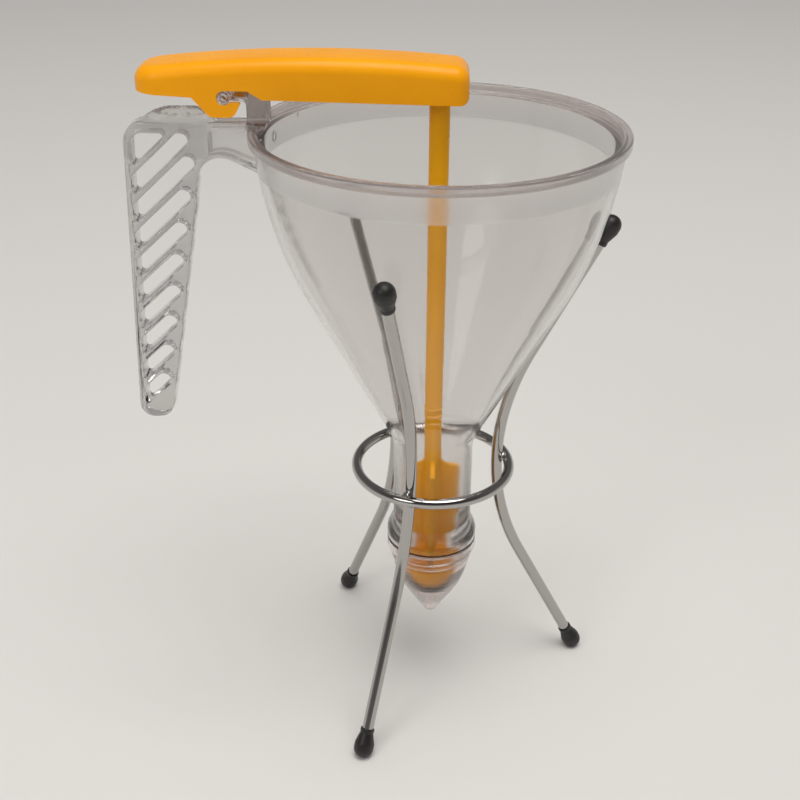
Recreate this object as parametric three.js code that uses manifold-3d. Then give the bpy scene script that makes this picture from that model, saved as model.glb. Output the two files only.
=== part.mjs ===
// Piston funnel: a clear bowl with a side handle stands in a wire stand with three legs.
// A lever over the bowl lifts a plunger out of the screwed-on nozzle.
// Millimetres, +Z up. The bowl's axis is x = y = 0 until the last step, which puts the
// origin under the middle of the whole object, on the table.
import * as THREE from 'three';
import { mergeVertices } from 'three/addons/utils/BufferGeometryUtils.js';
import Module from 'manifold-3d';

const wasm = await Module();
wasm.setup();

// Gaps and working values
const gap = 0.3;             // between pieces that touch on the real object
const overrun = 2;           // how far a cutting shape reaches past what it cuts
const sameSpot = 0.001;      // points closer than this are one point
const arcStep = 0.4;         // largest turn, in radians, between two points of a rounded corner
const roundSides = 48;       // sides of the bowl and the nozzle
const smallSides = 18;       // sides of caps, rod and seals
const wireSides = 10;        // sides of the stand's wires
const sealSides = 8;         // sides of a seal ring's section

// Bowl
const coneFoot = 151.2;      // height over the table where the cone's line meets the neck's
const bowlDepth = 166.8;     // from there to the top of the lip
const lipRadius = 90;        // outer edge of the lip
const lipDepth = 4.7;        // thickness of the lip
const lipWidth = 4.4;        // flat top of the lip
const lipEdge = 1;           // rounding of the lip's edges
const lipProud = 2.5;        // how far the lip stands out of the band
const bandThickness = 5.3;   // wall of the band under the lip
const bandTaper = 0.098;     // growth of the band's radius per height
const kneeDepth = 42.87;     // from the lip down to the corner where band and cone would meet
const bendReach = 39.83;     // how far the arc between them runs along each side of that corner
const neckBend = 20;         // radius between neck and cone
const wall = 3.2;            // thickness of the bowl's wall
const neckRadius = 21;       // outside of the neck
const neckLength = 48.2;     // from the cone's foot to the bead over the nozzle
const rimHeight = coneFoot + bowlDepth;
const lipUnder = rimHeight - lipDepth;
const bandRadius = lipRadius - lipProud;
const ledgeRadius = bandRadius - bandThickness;
const kneeHeight = lipUnder - kneeDepth;
const kneeRadius = bandRadius - bandTaper * kneeDepth;
const coneTaper = (kneeRadius - neckRadius) / (kneeHeight - coneFoot);
const bowlBend = bendReach / Math.tan((Math.atan(coneTaper) - Math.atan(bandTaper)) / 2);

// Screw joint between the neck and the nozzle
const flangeProud = 3.3;     // how far the neck's bead, which the nozzle's seal presses on, stands out
const flangeSide = 4.7;      // height of the bead's straight side
const flangeSlope = 8;       // height of the bead's rounded shoulder
const flangeEdge = 3;        // rounding of the shoulder
const spigotLength = 14.8;   // length of the threaded end below the bead
const spigotStep = 1.2;      // how much narrower the threaded end is inside than the neck
const spigotWall = 1.8;      // its wall between its threads
const threadDepth = 0.9;     // height of a thread
const threadPitch = 4;       // climb in one turn
const threadFoot = 2.4;      // width of a thread at its root
const threadCrest = 1;       // width of a thread at its crest
const spigotTurns = 2;       // turns of each thread
const threadSteps = 18;      // steps in one turn
const threadInset = 2.4;     // from the spigot's end to the start of its thread
const flangeRadius = neckRadius + flangeProud;
const flangeTop = coneFoot - neckLength;
const flangeHeight = flangeTop - flangeSlope - flangeSide;
const spigotFoot = flangeHeight - spigotLength;
const spigotBore = neckRadius - wall - spigotStep;
const spigotRoot = spigotBore + spigotWall;

// Plunger
const barRise = 4.9;         // cross bar held by the lever, above the lever's pivot
const rodTop = 4.9;          // radius of the rod at its top
const rodLow = 4.5;          // radius of the rod at the vanes
const barRadius = 2.5;       // the bar
const barEnd = 1.85;         // how far the bar reaches past the lever's cheeks
const barPlay = 0.45;        // clearance round the bar
const barTravel = 4.2;       // how far the bar slides along its slots when the lever rises
const vanePlay = 1.9;        // clearance between the vanes and the threaded end
const vaneThickness = 2.6;   // thickness of a vane
const vaneLength = 53;       // height of the vanes at their edge
const vaneFillet = 7;        // hollow between vane and rod
const vaneFlare = 6;         // height between the stopper and the vanes' full width
const stopperLength = 16;    // from the seat to the stopper's top
const stopperRadius = 12.2;  // the stopper
const stopperEdge = 1.5;     // rounding of its top
const stopperNose = 3.4;     // from the seat down to the stopper's underside
const stopperFootRadius = 9.6;  // radius of the underside
const footEdgeRadius = 10.9; // the stopper under its seal
const ringSealSection = 1.1; // radius of the section of the dark ring round the stopper's foot

// Nozzle
const sealThickness = 1.6;   // flat ring between the bead and the nozzle
const sealWidth = 2;         // across the flat ring's section
const skirtSide = 6;         // height of the nozzle's straight side
const gripWall = 2.4;        // nozzle's wall half way down the thread
const gripDrop = 12.3;       // from the bead down to that place
const waistProud = 2.7;      // how much wider than the seat the nozzle is below the thread
const waistDrop = 11;        // from the grip down to that place
const seatRoom = 4.3;        // from the stopper's side to the nozzle's outside
const seatDrop = 7;          // from the waist down to the seat
const shoulderInset = 2.5;   // how much narrower than the seat the outer cone starts
const shoulderDrop = 4.5;    // from the seat down to that start
const coneLength = 17.7;     // from there to the nozzle's end
const tipRadius = 3.4;       // end of the nozzle
const tipEdge = 1.3;         // rounding of the end
const tipRise = 1;           // height over which the end rounds off
const nozzleWall = 2.2;      // thickness of the nozzle's cone
const outletRadius = 1.8;    // the hole in the nozzle's end
const outletLength = 7;      // length of that hole
const outletStep = 4.4;      // radius where the inner cone ends in a step
const nozzleTop = flangeHeight - gap;
const nozzleBore = spigotRoot + threadDepth + gap;
const gripRadius = nozzleBore + gripWall;
const gripHeight = flangeHeight - gripDrop;
const waistHeight = gripHeight - waistDrop;
const seatHeight = waistHeight - seatDrop;
const shoulderHeight = seatHeight - shoulderDrop;
const tipHeight = shoulderHeight - coneLength;
const stopperTop = seatHeight + stopperLength;
const stopperFoot = seatHeight - stopperNose;
const vaneReach = spigotBore - vanePlay;
const vaneFoot = stopperTop + vaneFlare;
const vaneTop = vaneFoot + vaneLength;
const seatRadius = stopperRadius + seatRoom;
const waistRadius = seatRadius + waistProud;
const shoulderRadius = seatRadius - shoulderInset;

// Stand
const wireRadius = 3;        // wire of the legs
const ringWireRadius = 2.75; // wire of the ring
const ringDrop = 2.54;       // from the legs' narrowest place down to the ring's centre
const ringSides = 44;        // sides round the ring
const neckRoom = 10.5;       // from the neck's bead to a leg's centre, where it passes closest
const legSplay = 0.52;       // outward run of the lower leg per height
const legFootRadius = 86.2;  // a foot cap's centre from the axis
const legTopDrop = 3.6;      // from the bowl's knee down to an upper cap's centre
const legSteps = 26;         // rings of a leg's wire
const legArcStep = 0.08;     // turn between two points of a leg's bend
const legAzimuths = [-109, 8.5, 127];  // place of each leg round the axis, in degrees
const legLeans = [2.6, -1.6, 0];       // sideways lean of each leg, in degrees
const capBulge = 2.25;       // how much a rubber cap's bulb stands out of its wire
const capLength = 10.75;     // from the bulb's centre to the cap's mouth
const capLip = 0.8;          // thickness of the mouth
const capBite = 7.5;         // length of wire inside a cap
const footFlat = 0.35;       // how much the table takes off a foot's bulb
const weldRadius = 2.6;      // bead of weld where a leg meets the ring
const capRadius = wireRadius + capBulge;
const capMouth = wireRadius + gap + capLip;
const legFootHeight = capRadius - footFlat;
const legTopHeight = kneeHeight - legTopDrop;
const legWaist = flangeRadius + neckRoom;

// Handle
const padThickness = 1.7;    // the arm's top above the lip
const handleReach = 58.4;    // from the lip to the handle's outer edge at its top
const handleDepth = 12;      // handle's size across, along Y
const handleWidth = 39.9;    // from the outer edge to the grip edge at the top
const handleFootWidth = 16.6;    // the same at the bottom
const handleFootShift = 5.7; // how much further out the bottom is
const handleLength = 163.4;  // from the hump to the lowest point
const handleRoundTop = 9.5;  // rounding of the top corner
const handleRoundFoot = 7.5; // rounding of the bottom
const railWidth = 2.8;       // thickness of the two rails
const ribWidth = 2.6;        // thickness of the slanted ribs
const ribLean = 43;          // slope of the ribs, in degrees
const ribPitch = 13.75;      // drop from one rib to the next
const ribFootRoom = 13;      // least solid foot under the last rib, at the handle's middle
const ribDepth = 23.4;       // from the hump to the first rib's upper side, at the handle's middle
const ribMiddleInset = 8.4;  // that middle, from the outer edge at the top
const windowRound = 1.6;     // corners of the windows between the ribs
const windowTopRound = 3.5;  // their upper corners on the grip side
const windowDrop = 5.2;      // from the arm's top to the windows' roof
const armFlange = 3.6;       // thickness of the arm's upper flange
const armWeb = 2.4;          // thickness of the arm's web
const armWebInset = 0.2;     // outer end of the web, from the grip edge at the top
const humpRise = 6.7;        // the hump above the arm, highest along the handle's middle plane
const humpRoundOuter = 24;   // rounding of the hump towards the handle's outer edge
const humpRoundInner = 8.5;  // rounding of the hump towards the bowl
const humpSteps = 3;         // steps of the hump's roundness on each side
const humpInset = 3.5;       // where the hump starts to fall, from the grip edge at the top
const humpFall = 7;          // length of that fall
const archDepth = 44.7;      // from the arm's top to where its arch leaves the grip side
const archCornerInset = 4.5; // where the arch's two lines would meet, from the grip edge at the top
const archCornerDepth = 10.7;    // from the arm's top to that corner
const archEndDepth = 25.7;   // from the arm's top to the arch at the bowl's wall
const archRound = 12;        // rounding of the arch
const archWidth = 3;         // thickness of the arch's flange
const padDepth = 17.4;       // pad on the rim, across
const padLength = 9;         // pad from the lip's edge towards the axis
const postLength = 10.5;     // post on the pad, from the lip's edge towards the axis
const postDepth = 11;        // post, across
const pivotReach = 8.3;      // axle of the lever, out from the lip's edge
const pivotRise = 14.4;      // the axle above the arm's top
const axleRadius = 2.9;      // the axle
const axleBore = 1.6;        // blind hole in its ends
const axleBoreDepth = 3;     // depth of that hole
const axleEnd = 1.5;         // how far the axle stands out of the lever
const headRadius = 4.4;      // round head of the bracket about the axle
const armTop = rimHeight + padThickness;
const handleTop = armTop + humpRise;
const handleFoot = handleTop - handleLength;
const handleTopX = -lipRadius - handleReach;
const handleFootX = handleTopX - handleFootShift;
const handleGripTopX = handleTopX + handleWidth;
const handleGripFootX = handleFootX + handleFootWidth;
const ribFirst = handleTop - ribDepth;
const ribWindows = Math.floor((handleLength - ribDepth - ribFootRoom) / ribPitch);
const ribMiddle = handleTopX + ribMiddleInset;
const humpEnd = handleGripTopX - humpInset;
const armWebEdge = handleGripTopX - armWebInset;
const archFoot = armTop - archDepth;
const archCornerX = handleGripTopX - archCornerInset;
const archCorner = armTop - archCornerDepth;
const archEnd = armTop - archEndDepth;
const padInner = -lipRadius + padLength;
const postOuter = -lipRadius;
const postInner = -lipRadius + postLength;
const pivotX = -lipRadius - pivotReach;
const pivotHeight = armTop + pivotRise;

// Lever. Lengths along it and heights are measured from its pivot.
const leverWidth = 32;       // across the flanks
const leverWall = 2.6;       // thickness of roof and flanks
const leverEdge = 6;         // rounding along the roof's sides
const crownRise = 17.7;      // highest point of the roof
const crownAhead = 43.9;     // its place
const crownBend = 667;       // radius of the roof's long arc
const tailReach = 42.3;      // end over the handle
const nosePast = 13.3;       // from the bowl's axis to the end over the plunger
const noseCorner = 5;        // corners of the nose, seen from above
const noseRound = 3.5;       // lower corner of the nose, seen from the side
const tailCorner = 12;       // corners of the tail, seen from above
const tailRise = 1.7;        // underside at the tail
const waistRise = 0.1;       // underside where the hook starts
const beamFall = 0.7;        // underside behind the hook
const noseFall = 2.3;        // underside at the nose
const hookBack = 14.7;       // where the flank turns down into the hook
const hookDrop = 8.9;        // lowest point of the hook
const hookLeftReach = 6.7;   // left end of the hook's bottom
const hookRightReach = 4.3;  // right end of the hook's bottom
const hookTipReach = 7.7;    // outer side of the hook's tip
const hookTipDrop = 2.2;     // top of the hook's tip, which snaps under the axle
const hookLip = 2.4;         // from the axle's centre to the start of that tip
const slotReach = 10.9;      // where the slot's roof ends
const slotFall = 6.5;        // length over which the roof falls to the beam's underside
const slotRound = 1.2;       // rounding in the hook
const pivotPlay = 0.35;      // clearance round the axle
const roofRings = 22;        // stations along the roof
const leverOpening = 12;     // how far the lever tilts, in degrees
const stopInset = 15;        // rib in the tail that lands on the handle's hump, from the tail's end
const cheekThickness = 2;    // plates in the nose that hold the plunger's bar
const cheekLip = 1.6;        // how far the plates reach past the bar
const crownHeight = pivotHeight + crownRise;
const crownX = pivotX + crownAhead;
const tailX = pivotX - tailReach;
const noseX = nosePast;
const hookBottom = pivotHeight - hookDrop;
const barHeight = pivotHeight + barRise;
const stopX = tailX + stopInset;

// Materials
const clearPlastic = () => new THREE.MeshStandardMaterial({
  color: 0xe6dad6, roughness: 0.08, transparent: true, opacity: 0.45,
});
const yellowPlastic = () => new THREE.MeshStandardMaterial({ color: 0xf7a81b, roughness: 0.35 });
const chrome = () => new THREE.MeshStandardMaterial({ color: 0xd5d8dc, roughness: 0.08, metalness: 1 });
const blackRubber = () => new THREE.MeshStandardMaterial({ color: 0x14120f, roughness: 0.7 });
const redRubber = () => new THREE.MeshStandardMaterial({ color: 0x5a1d12, roughness: 0.6 });

const model = new THREE.Group();
const quarterTurn = Math.PI / 2;
const radians = (degrees) => THREE.MathUtils.degToRad(degrees);

function piece(name, geometry, material, parent = model) {
  const mesh = new THREE.Mesh(geometry, material);
  mesh.name = name;
  parent.add(mesh);
  return mesh;
}

// An outline through corners [x, y, bend]: each bend is an arc that touches both sides.
function rounded(corners, closed = true, largestTurn = arcStep) {
  const points = [];
  const count = corners.length;
  corners.forEach(([x, y, bend = 0], index) => {
    const here = new THREE.Vector2(x, y);
    const end = !closed && (index === 0 || index === count - 1);
    if (bend === 0 || end) {
      points.push(here);
      return;
    }
    const before = new THREE.Vector2(...corners[(index + count - 1) % count].slice(0, 2));
    const after = new THREE.Vector2(...corners[(index + 1) % count].slice(0, 2));
    const back = before.clone().sub(here).normalize();
    const ahead = after.clone().sub(here).normalize();
    const half = Math.acos(THREE.MathUtils.clamp(back.dot(ahead), -1, 1)) / 2;
    const centre = back.clone().add(ahead).normalize().multiplyScalar(bend / Math.sin(half)).add(here);
    const start = back.clone().multiplyScalar(bend / Math.tan(half)).add(here).sub(centre);
    const side = Math.sign(back.x * ahead.y - back.y * ahead.x);
    const turn = -side * (Math.PI - 2 * half);
    const steps = Math.max(1, Math.ceil(Math.abs(turn) / largestTurn));
    for (let step = 0; step <= steps; step += 1) {
      points.push(start.clone().rotateAround(new THREE.Vector2(), (turn * step) / steps).add(centre));
    }
  });
  return points.filter((point, index) => index === 0 || point.distanceTo(points[index - 1]) > sameSpot);
}

// A solid of revolution about Z from a closed outline [radius, height].
function turned(points, sides = roundSides) {
  const loop = THREE.ShapeUtils.area(points) < 0 ? [...points].reverse() : [...points];
  loop.push(loop[0]);
  return new THREE.LatheGeometry(loop, sides).rotateX(quarterTurn);
}

// A plate whose outline lies in XZ and whose thickness runs along Y, about y = middle.
function plate(outline, thickness, middle = 0) {
  const shape = new THREE.Shape(outline);
  const geometry = new THREE.ExtrudeGeometry(shape, { depth: thickness, bevelEnabled: false });
  return geometry.translate(0, 0, -thickness / 2).rotateX(quarterTurn).translate(0, middle, 0);
}

function block(x0, x1, y0, y1, z0, z1) {
  const geometry = new THREE.BoxGeometry(x1 - x0, y1 - y0, z1 - z0);
  return geometry.translate((x0 + x1) / 2, (y0 + y1) / 2, (z0 + z1) / 2);
}

// A round bar along Y.
function crossBar(radius, length, x, z, sides = smallSides) {
  return new THREE.CylinderGeometry(radius, radius, length, sides).translate(x, 0, z);
}

// Closed geometry to a solid that can be joined and cut, and back.
function solid(geometry) {
  const bare = geometry.clone();
  bare.deleteAttribute('normal');
  bare.deleteAttribute('uv');
  const merged = mergeVertices(bare);
  const corners = merged.index.array;
  const kept = [];
  for (let i = 0; i < corners.length; i += 3) {
    const [a, b, c] = [corners[i], corners[i + 1], corners[i + 2]];
    if (a !== b && b !== c && c !== a) kept.push(a, b, c);
  }
  return new wasm.Manifold(new wasm.Mesh({
    numProp: 3,
    vertProperties: Float32Array.from(merged.attributes.position.array),
    triVerts: Uint32Array.from(kept),
  }));
}

function shaped(body) {
  const mesh = body.getMesh();
  const geometry = new THREE.BufferGeometry();
  geometry.setAttribute('position', new THREE.BufferAttribute(Float32Array.from(mesh.vertProperties), 3));
  geometry.setIndex(Array.from(mesh.triVerts));
  return geometry;
}

// A closed surface from its points and faces, turned so that its faces point out.
function closedSurface(positions, indices) {
  const geometry = new THREE.BufferGeometry();
  geometry.setAttribute('position', new THREE.Float32BufferAttribute(positions, 3));
  geometry.setIndex(indices);
  if (solid(geometry).volume() < 0) geometry.setIndex([...indices].reverse());
  return geometry;
}

const join = (...geometries) => geometries.map(solid).reduce((whole, next) => whole.add(next));

// A screw thread about Z: a tapered ridge on a cylinder, outward or inward, climbing anticlockwise.
function thread(rootRadius, crestRadius, startHeight, turns, startAngle) {
  const steps = Math.round(turns * threadSteps);
  const sink = Math.sign(rootRadius - crestRadius) * threadDepth / 2;
  const section = [
    [rootRadius + sink, -threadFoot / 2],
    [crestRadius, -threadCrest / 2],
    [crestRadius, threadCrest / 2],
    [rootRadius + sink, threadFoot / 2],
  ];
  const positions = [];
  for (let step = 0; step <= steps; step += 1) {
    const angle = startAngle + (2 * Math.PI * step) / threadSteps;
    const height = startHeight + (threadPitch * step) / threadSteps;
    section.forEach(([r, z]) => positions.push(r * Math.cos(angle), r * Math.sin(angle), height + z));
  }
  const indices = [];
  const ring = section.length;
  for (let step = 0; step < steps; step += 1) {
    for (let side = 0; side < ring; side += 1) {
      const a = step * ring + side;
      const b = step * ring + ((side + 1) % ring);
      indices.push(a, a + ring, b, b, a + ring, b + ring);
    }
  }
  const last = steps * ring;
  indices.push(0, 1, 2, 0, 2, 3);
  indices.push(last, last + 2, last + 1, last, last + 3, last + 2);
  return closedSurface(positions, indices);
}

// Bowl outlines. The outer side is an offset of 0, the inner side an offset of the wall.
const bandRadiusAt = (z) => bandRadius + bandTaper * (z - lipUnder);
const coneRadiusAt = (z) => neckRadius + coneTaper * (z - coneFoot);
const slantOf = (taper) => Math.hypot(1, taper);

// Corners of the bowl's wall, shifted inward by the offset, from the neck to the lip.
function bowlCorners(offset) {
  const cone = offset * slantOf(coneTaper);
  const band = offset * slantOf(bandTaper);
  const footHeight = coneFoot + (cone - offset) / coneTaper;
  const knee = kneeHeight + (cone - band) / (coneTaper - bandTaper);
  return [
    [neckRadius - offset, footHeight, neckBend + offset],
    [bandRadiusAt(knee) - band, knee, bowlBend - offset],
    [bandRadiusAt(lipUnder) - band, lipUnder],
  ];
}

const outsideCorners = [
  [neckRadius, flangeTop, flangeEdge],
  ...bowlCorners(0),
];
const boreTop = flangeTop + flangeSlope;

function bowlOutline() {
  const outside = rounded([
    [spigotBore, spigotFoot],
    [spigotRoot, spigotFoot],
    [spigotRoot, flangeHeight],
    [flangeRadius, flangeHeight],
    [flangeRadius, flangeHeight + flangeSide, flangeEdge],
    ...outsideCorners,
    [lipRadius, lipUnder, lipEdge],
    [lipRadius, rimHeight, lipEdge],
    [lipRadius - lipWidth, rimHeight, lipEdge],
    [lipRadius - lipWidth, lipUnder],
    [ledgeRadius, lipUnder],
  ], false);
  const inside = rounded([
    [spigotBore, flangeTop],
    [neckRadius - wall, boreTop],
    ...bowlCorners(wall),
  ], false).slice(0, -1).map((point) => new THREE.Vector2(Math.min(point.x, ledgeRadius), point.y));
  const lowestStraight = inside.findIndex((point) => point.x >= ledgeRadius);
  const wallPoints = lowestStraight < 0 ? inside : inside.slice(0, lowestStraight + 1);
  return [...outside, ...wallPoints.reverse()];
}

const spigotThread = thread(
  spigotRoot, spigotRoot + threadDepth,
  spigotFoot + threadInset, spigotTurns, 0,
);
const bowl = solid(turned(bowlOutline())).add(solid(spigotThread));
piece('funnel_body', shaped(bowl), clearPlastic());

// The bowl's outside grown by the gap and filled to the axis: it trims what is moulded to the bowl.
function bowlRoom() {
  const sides = bowlCorners(-gap);
  const lipOuter = lipRadius + gap;
  return solid(turned(rounded([
    [0, coneFoot],
    ...sides.slice(0, -1),
    [sides[2][0], lipUnder - gap],
    [lipOuter, lipUnder - gap],
    [lipOuter, rimHeight + gap],
    [0, rimHeight + gap],
  ])));
}

// Handle: two rails and slanted ribs, an arm to the rim, and the bracket with the lever's axle.
const middleBetween = (from, to, share) => from + (to - from) * share;
const railAt = (topX, footX, z) => middleBetween(topX, footX, (handleTop - z) / (handleTop - handleFoot));
const outerRail = (z) => railAt(handleTopX, handleFootX, z);
const gripRail = (z) => railAt(handleGripTopX, handleGripFootX, z);
const ribSlope = Math.tan(radians(ribLean));
const ribDrop = ribWidth / Math.cos(radians(ribLean));

// Where a line of the ribs' slope, at a height over the handle's middle, meets a rail.
function ribMeets(rail, inset, height) {
  const top = rail(handleTop) + inset;
  const taper = (rail(handleTop) - rail(handleFoot)) / (handleTop - handleFoot);
  const x = (top - taper * (handleTop - height) - taper * ribSlope * ribMiddle) / (1 - taper * ribSlope);
  return [x, height + ribSlope * (x - ribMiddle)];
}

function handleWindows() {
  const windows = [];
  const roof = armTop - windowDrop;
  for (let rib = 0; rib < ribWindows; rib += 1) {
    const upper = ribFirst - ribPitch * rib - ribDrop;
    const lower = ribFirst - ribPitch * (rib + 1);
    const leftLow = ribMeets(outerRail, railWidth, lower);
    const leftHigh = ribMeets(outerRail, railWidth, upper);
    const rightLow = ribMeets(gripRail, -railWidth, lower);
    const rightHigh = ribMeets(gripRail, -railWidth, upper);
    if (rightHigh[1] > roof) {
      const cut = (height) => ribMiddle + (roof - height) / ribSlope;
      const high = [cut(upper), roof, windowRound];
      const noSide = rightLow[1] > roof - windowTopRound;
      const corner = [noSide ? cut(lower) : rightLow[0], roof, windowTopRound];
      const low = noSide ? [] : [[...rightLow, windowRound]];
      windows.push(rounded([[...leftLow, windowRound], ...low, corner, high, [...leftHigh, windowRound]]));
    } else {
      windows.push(rounded([
        [...leftLow, windowRound], [...rightLow, windowRound],
        [...rightHigh, windowTopRound], [...leftHigh, windowRound],
      ]));
    }
  }
  const firstLow = ribMeets(outerRail, railWidth, ribFirst);
  const firstCut = ribMiddle + (roof - ribFirst) / ribSlope;
  const cornerTop = [outerRail(roof) + railWidth, roof, handleRoundTop - railWidth];
  windows.push(rounded([[...firstLow, windowRound], [firstCut, roof, windowRound], cornerTop]));
  return windows;
}

const armEnd = -ledgeRadius;

// The open space under the arm, grown by the offset.
function archSpace(offset) {
  const [inner, floor] = [armEnd + overrun, archFoot - overrun];
  return rounded([
    [gripRail(archFoot) - offset, floor],
    [archCornerX - offset, archCorner + offset, archRound + offset],
    [inner, archEnd + offset],
    [inner, floor],
  ]);
}

// The hump: its outline shrinks towards both faces of the handle, so that it is round across.
function hump() {
  const shrink = humpRise + gap;
  const floor = handleTop - humpRoundOuter - shrink - overrun;
  const outline = rounded([
    [humpEnd + 2 * humpFall, armTop - humpRise],
    [humpEnd, handleTop, humpRoundInner],
    [handleTopX, handleTop, humpRoundOuter],
    [handleTopX, floor],
    [humpEnd + 2 * humpFall, floor],
  ]);
  return new THREE.ExtrudeGeometry(new THREE.Shape(outline), {
    depth: gap,
    bevelThickness: handleDepth / 2 - gap,
    bevelSize: shrink,
    bevelOffset: -shrink,
    bevelSegments: humpSteps,
  }).translate(0, 0, -gap / 2).rotateX(quarterTurn);
}

function handleGeometry() {
  const outline = rounded([
    [armEnd, armTop],
    [outerRail(armTop), armTop, handleRoundTop],
    [outerRail(handleFoot), handleFoot, handleRoundFoot],
    [gripRail(handleFoot), handleFoot, handleRoundFoot],
    [gripRail(archFoot), archFoot],
    [armEnd, archFoot],
  ]);
  const webTop = armTop - armFlange;
  const webSpace = rounded([
    [armEnd + overrun, archFoot],
    [armEnd + overrun, webTop],
    [armWebEdge, webTop, windowRound],
    [armWebEdge, archFoot],
  ]);
  const frame = join(plate(outline, handleDepth), hump());
  const windows = handleWindows().map((window) => solid(plate(window, handleDepth * 2)));
  const flange = solid(plate(archSpace(archWidth), handleDepth * 2));
  const recess = (side) => solid(plate(webSpace, handleDepth, side * (handleDepth + armWeb) / 2))
    .subtract(flange);
  const padTop = armTop;
  const pad = block(-lipRadius - gap, padInner, -padDepth / 2, padDepth / 2, rimHeight, padTop);
  const headLow = pivotHeight - headRadius;
  const headHigh = pivotHeight + headRadius;
  const bracket = plate(rounded([
    [postInner, padTop - gap],
    [postInner, headHigh, headRadius],
    [pivotX - headRadius, headHigh, headRadius],
    [pivotX - headRadius, headLow, headRadius],
    [postOuter, headLow, headRadius / 2],
    [postOuter, padTop - gap],
  ]), postDepth);
  const axleLength = leverWidth + 2 * axleEnd;
  const axle = crossBar(axleRadius, axleLength, pivotX, pivotHeight);
  const bore = (side) => solid(crossBar(axleBore, axleBoreDepth * 2, pivotX, pivotHeight)
    .translate(0, side * axleLength / 2, 0));
  const arch = solid(plate(archSpace(0), handleDepth * 2));
  const open = windows.reduce((rest, window) => rest.subtract(window), frame.subtract(arch));
  const whole = open.subtract(recess(1)).subtract(recess(-1))
    .add(join(pad, bracket, axle)).subtract(bore(1)).subtract(bore(-1));
  return shaped(whole.subtract(bowlRoom()));
}

piece('handle', handleGeometry(), clearPlastic());

// Lever: a channel open below, with snap hooks on the axle and slotted cheeks on the plunger's bar.
const roofHeight = (x) => crownHeight - ((x - crownX) ** 2) / (2 * crownBend);

// A body along X whose section is a rounded block under the lever's roof, shrunk by the offset.
function roofBody(offset, startX, endX, floor) {
  const half = leverWidth / 2 - offset;
  const edge = Math.max(leverEdge - offset, leverEdge / 4);
  const positions = [];
  const shares = Array.from({ length: roofRings + 1 }, (unused, ring) => ring / roofRings);
  let ring = 0;
  shares.forEach((share) => {
    const x = middleBetween(startX, endX, share);
    const top = roofHeight(x) - offset;
    const section = rounded([
      [half, floor], [half, top, edge], [-half, top, edge], [-half, floor],
    ]);
    ring = section.length;
    section.forEach((point) => positions.push(x, point.x, point.y));
  });
  const indices = [];
  for (let step = 0; step < roofRings; step += 1) {
    for (let side = 0; side < ring; side += 1) {
      const a = step * ring + side;
      const b = step * ring + ((side + 1) % ring);
      indices.push(a, a + ring, b, b, a + ring, b + ring);
    }
  }
  const last = roofRings * ring;
  for (let side = 1; side < ring - 1; side += 1) {
    indices.push(0, side, side + 1);
    indices.push(last, last + side + 1, last + side);
  }
  return solid(closedSurface(positions, indices));
}

// The lever seen from above, as a tall block: round corners at nose and tail.
function leverPlan(offset) {
  const half = leverWidth / 2 - offset;
  const [tail, nose] = [tailX + offset, noseX - offset];
  const outline = rounded([
    [tail, -half, tailCorner - offset], [nose, -half, noseCorner - offset],
    [nose, half, noseCorner - offset], [tail, half, tailCorner - offset],
  ]);
  const depth = crownHeight - hookBottom + 2 * overrun;
  const geometry = new THREE.ExtrudeGeometry(new THREE.Shape(outline), { depth, bevelEnabled: false });
  return solid(geometry.translate(0, 0, hookBottom - overrun));
}

// The flank seen from the side.
function leverFlank() {
  const roof = crownHeight + overrun;
  const boreTop = pivotHeight + axleRadius + pivotPlay;
  const boreLow = pivotHeight - axleRadius - pivotPlay;
  const boreLeft = pivotX - axleRadius - pivotPlay;
  const hookTipTop = pivotHeight - hookTipDrop;
  const boreRound = (boreTop - boreLow) / 2;
  return rounded([
    [tailX - overrun, roof],
    [tailX - overrun, pivotHeight + tailRise],
    [pivotX - hookBack, pivotHeight + waistRise, slotRound],
    [pivotX - hookLeftReach, hookBottom, headRadius],
    [pivotX + hookRightReach, hookBottom, headRadius],
    [pivotX + hookTipReach, hookTipTop, slotRound / 2],
    [pivotX + hookLip, hookTipTop, slotRound / 2],
    [pivotX + hookLip - (hookTipTop - boreLow), boreLow],
    [boreLeft, boreLow, boreRound],
    [boreLeft, boreTop, boreRound],
    [pivotX + slotReach, boreTop, slotRound],
    [pivotX + slotReach + slotFall, pivotHeight - beamFall, slotRound],
    [noseX + gap / 2, pivotHeight - noseFall, noseRound],
    [noseX + gap / 2, roof],
  ]);
}

// Cheeks inside the nose that hold the plunger's bar: a slot open towards the nose.
const cheekInner = rodTop + gap + barPlay;
const cheekFront = barTravel + barRadius + cheekLip;
const barLength = 2 * (cheekInner + cheekThickness + barEnd);

function cheek(side) {
  const low = barHeight - barRadius - barPlay;
  const high = barHeight + barRadius + barPlay;
  const back = -barRadius - barPlay;
  const under = low - leverWall;
  const outline = rounded([
    [back - leverWall, crownHeight],
    [back - leverWall, under, slotRound],
    [cheekFront, under, slotRound],
    [cheekFront, low, slotRound / 2],
    [back, low, barRadius],
    [back, high, barRadius],
    [cheekFront, high, slotRound / 2],
    [cheekFront, crownHeight],
  ]);
  const middle = side * (cheekInner + cheekThickness / 2);
  return solid(plate(outline, cheekThickness, middle));
}

// Height of the tail's rib: tilted all the way, its far corner lands on the hump.
function stopHeight() {
  const turn = radians(leverOpening);
  const fall = (pivotX - stopX) * Math.sin(turn);
  return pivotHeight + (handleTop + gap - pivotHeight + fall) / Math.cos(turn);
}

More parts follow.
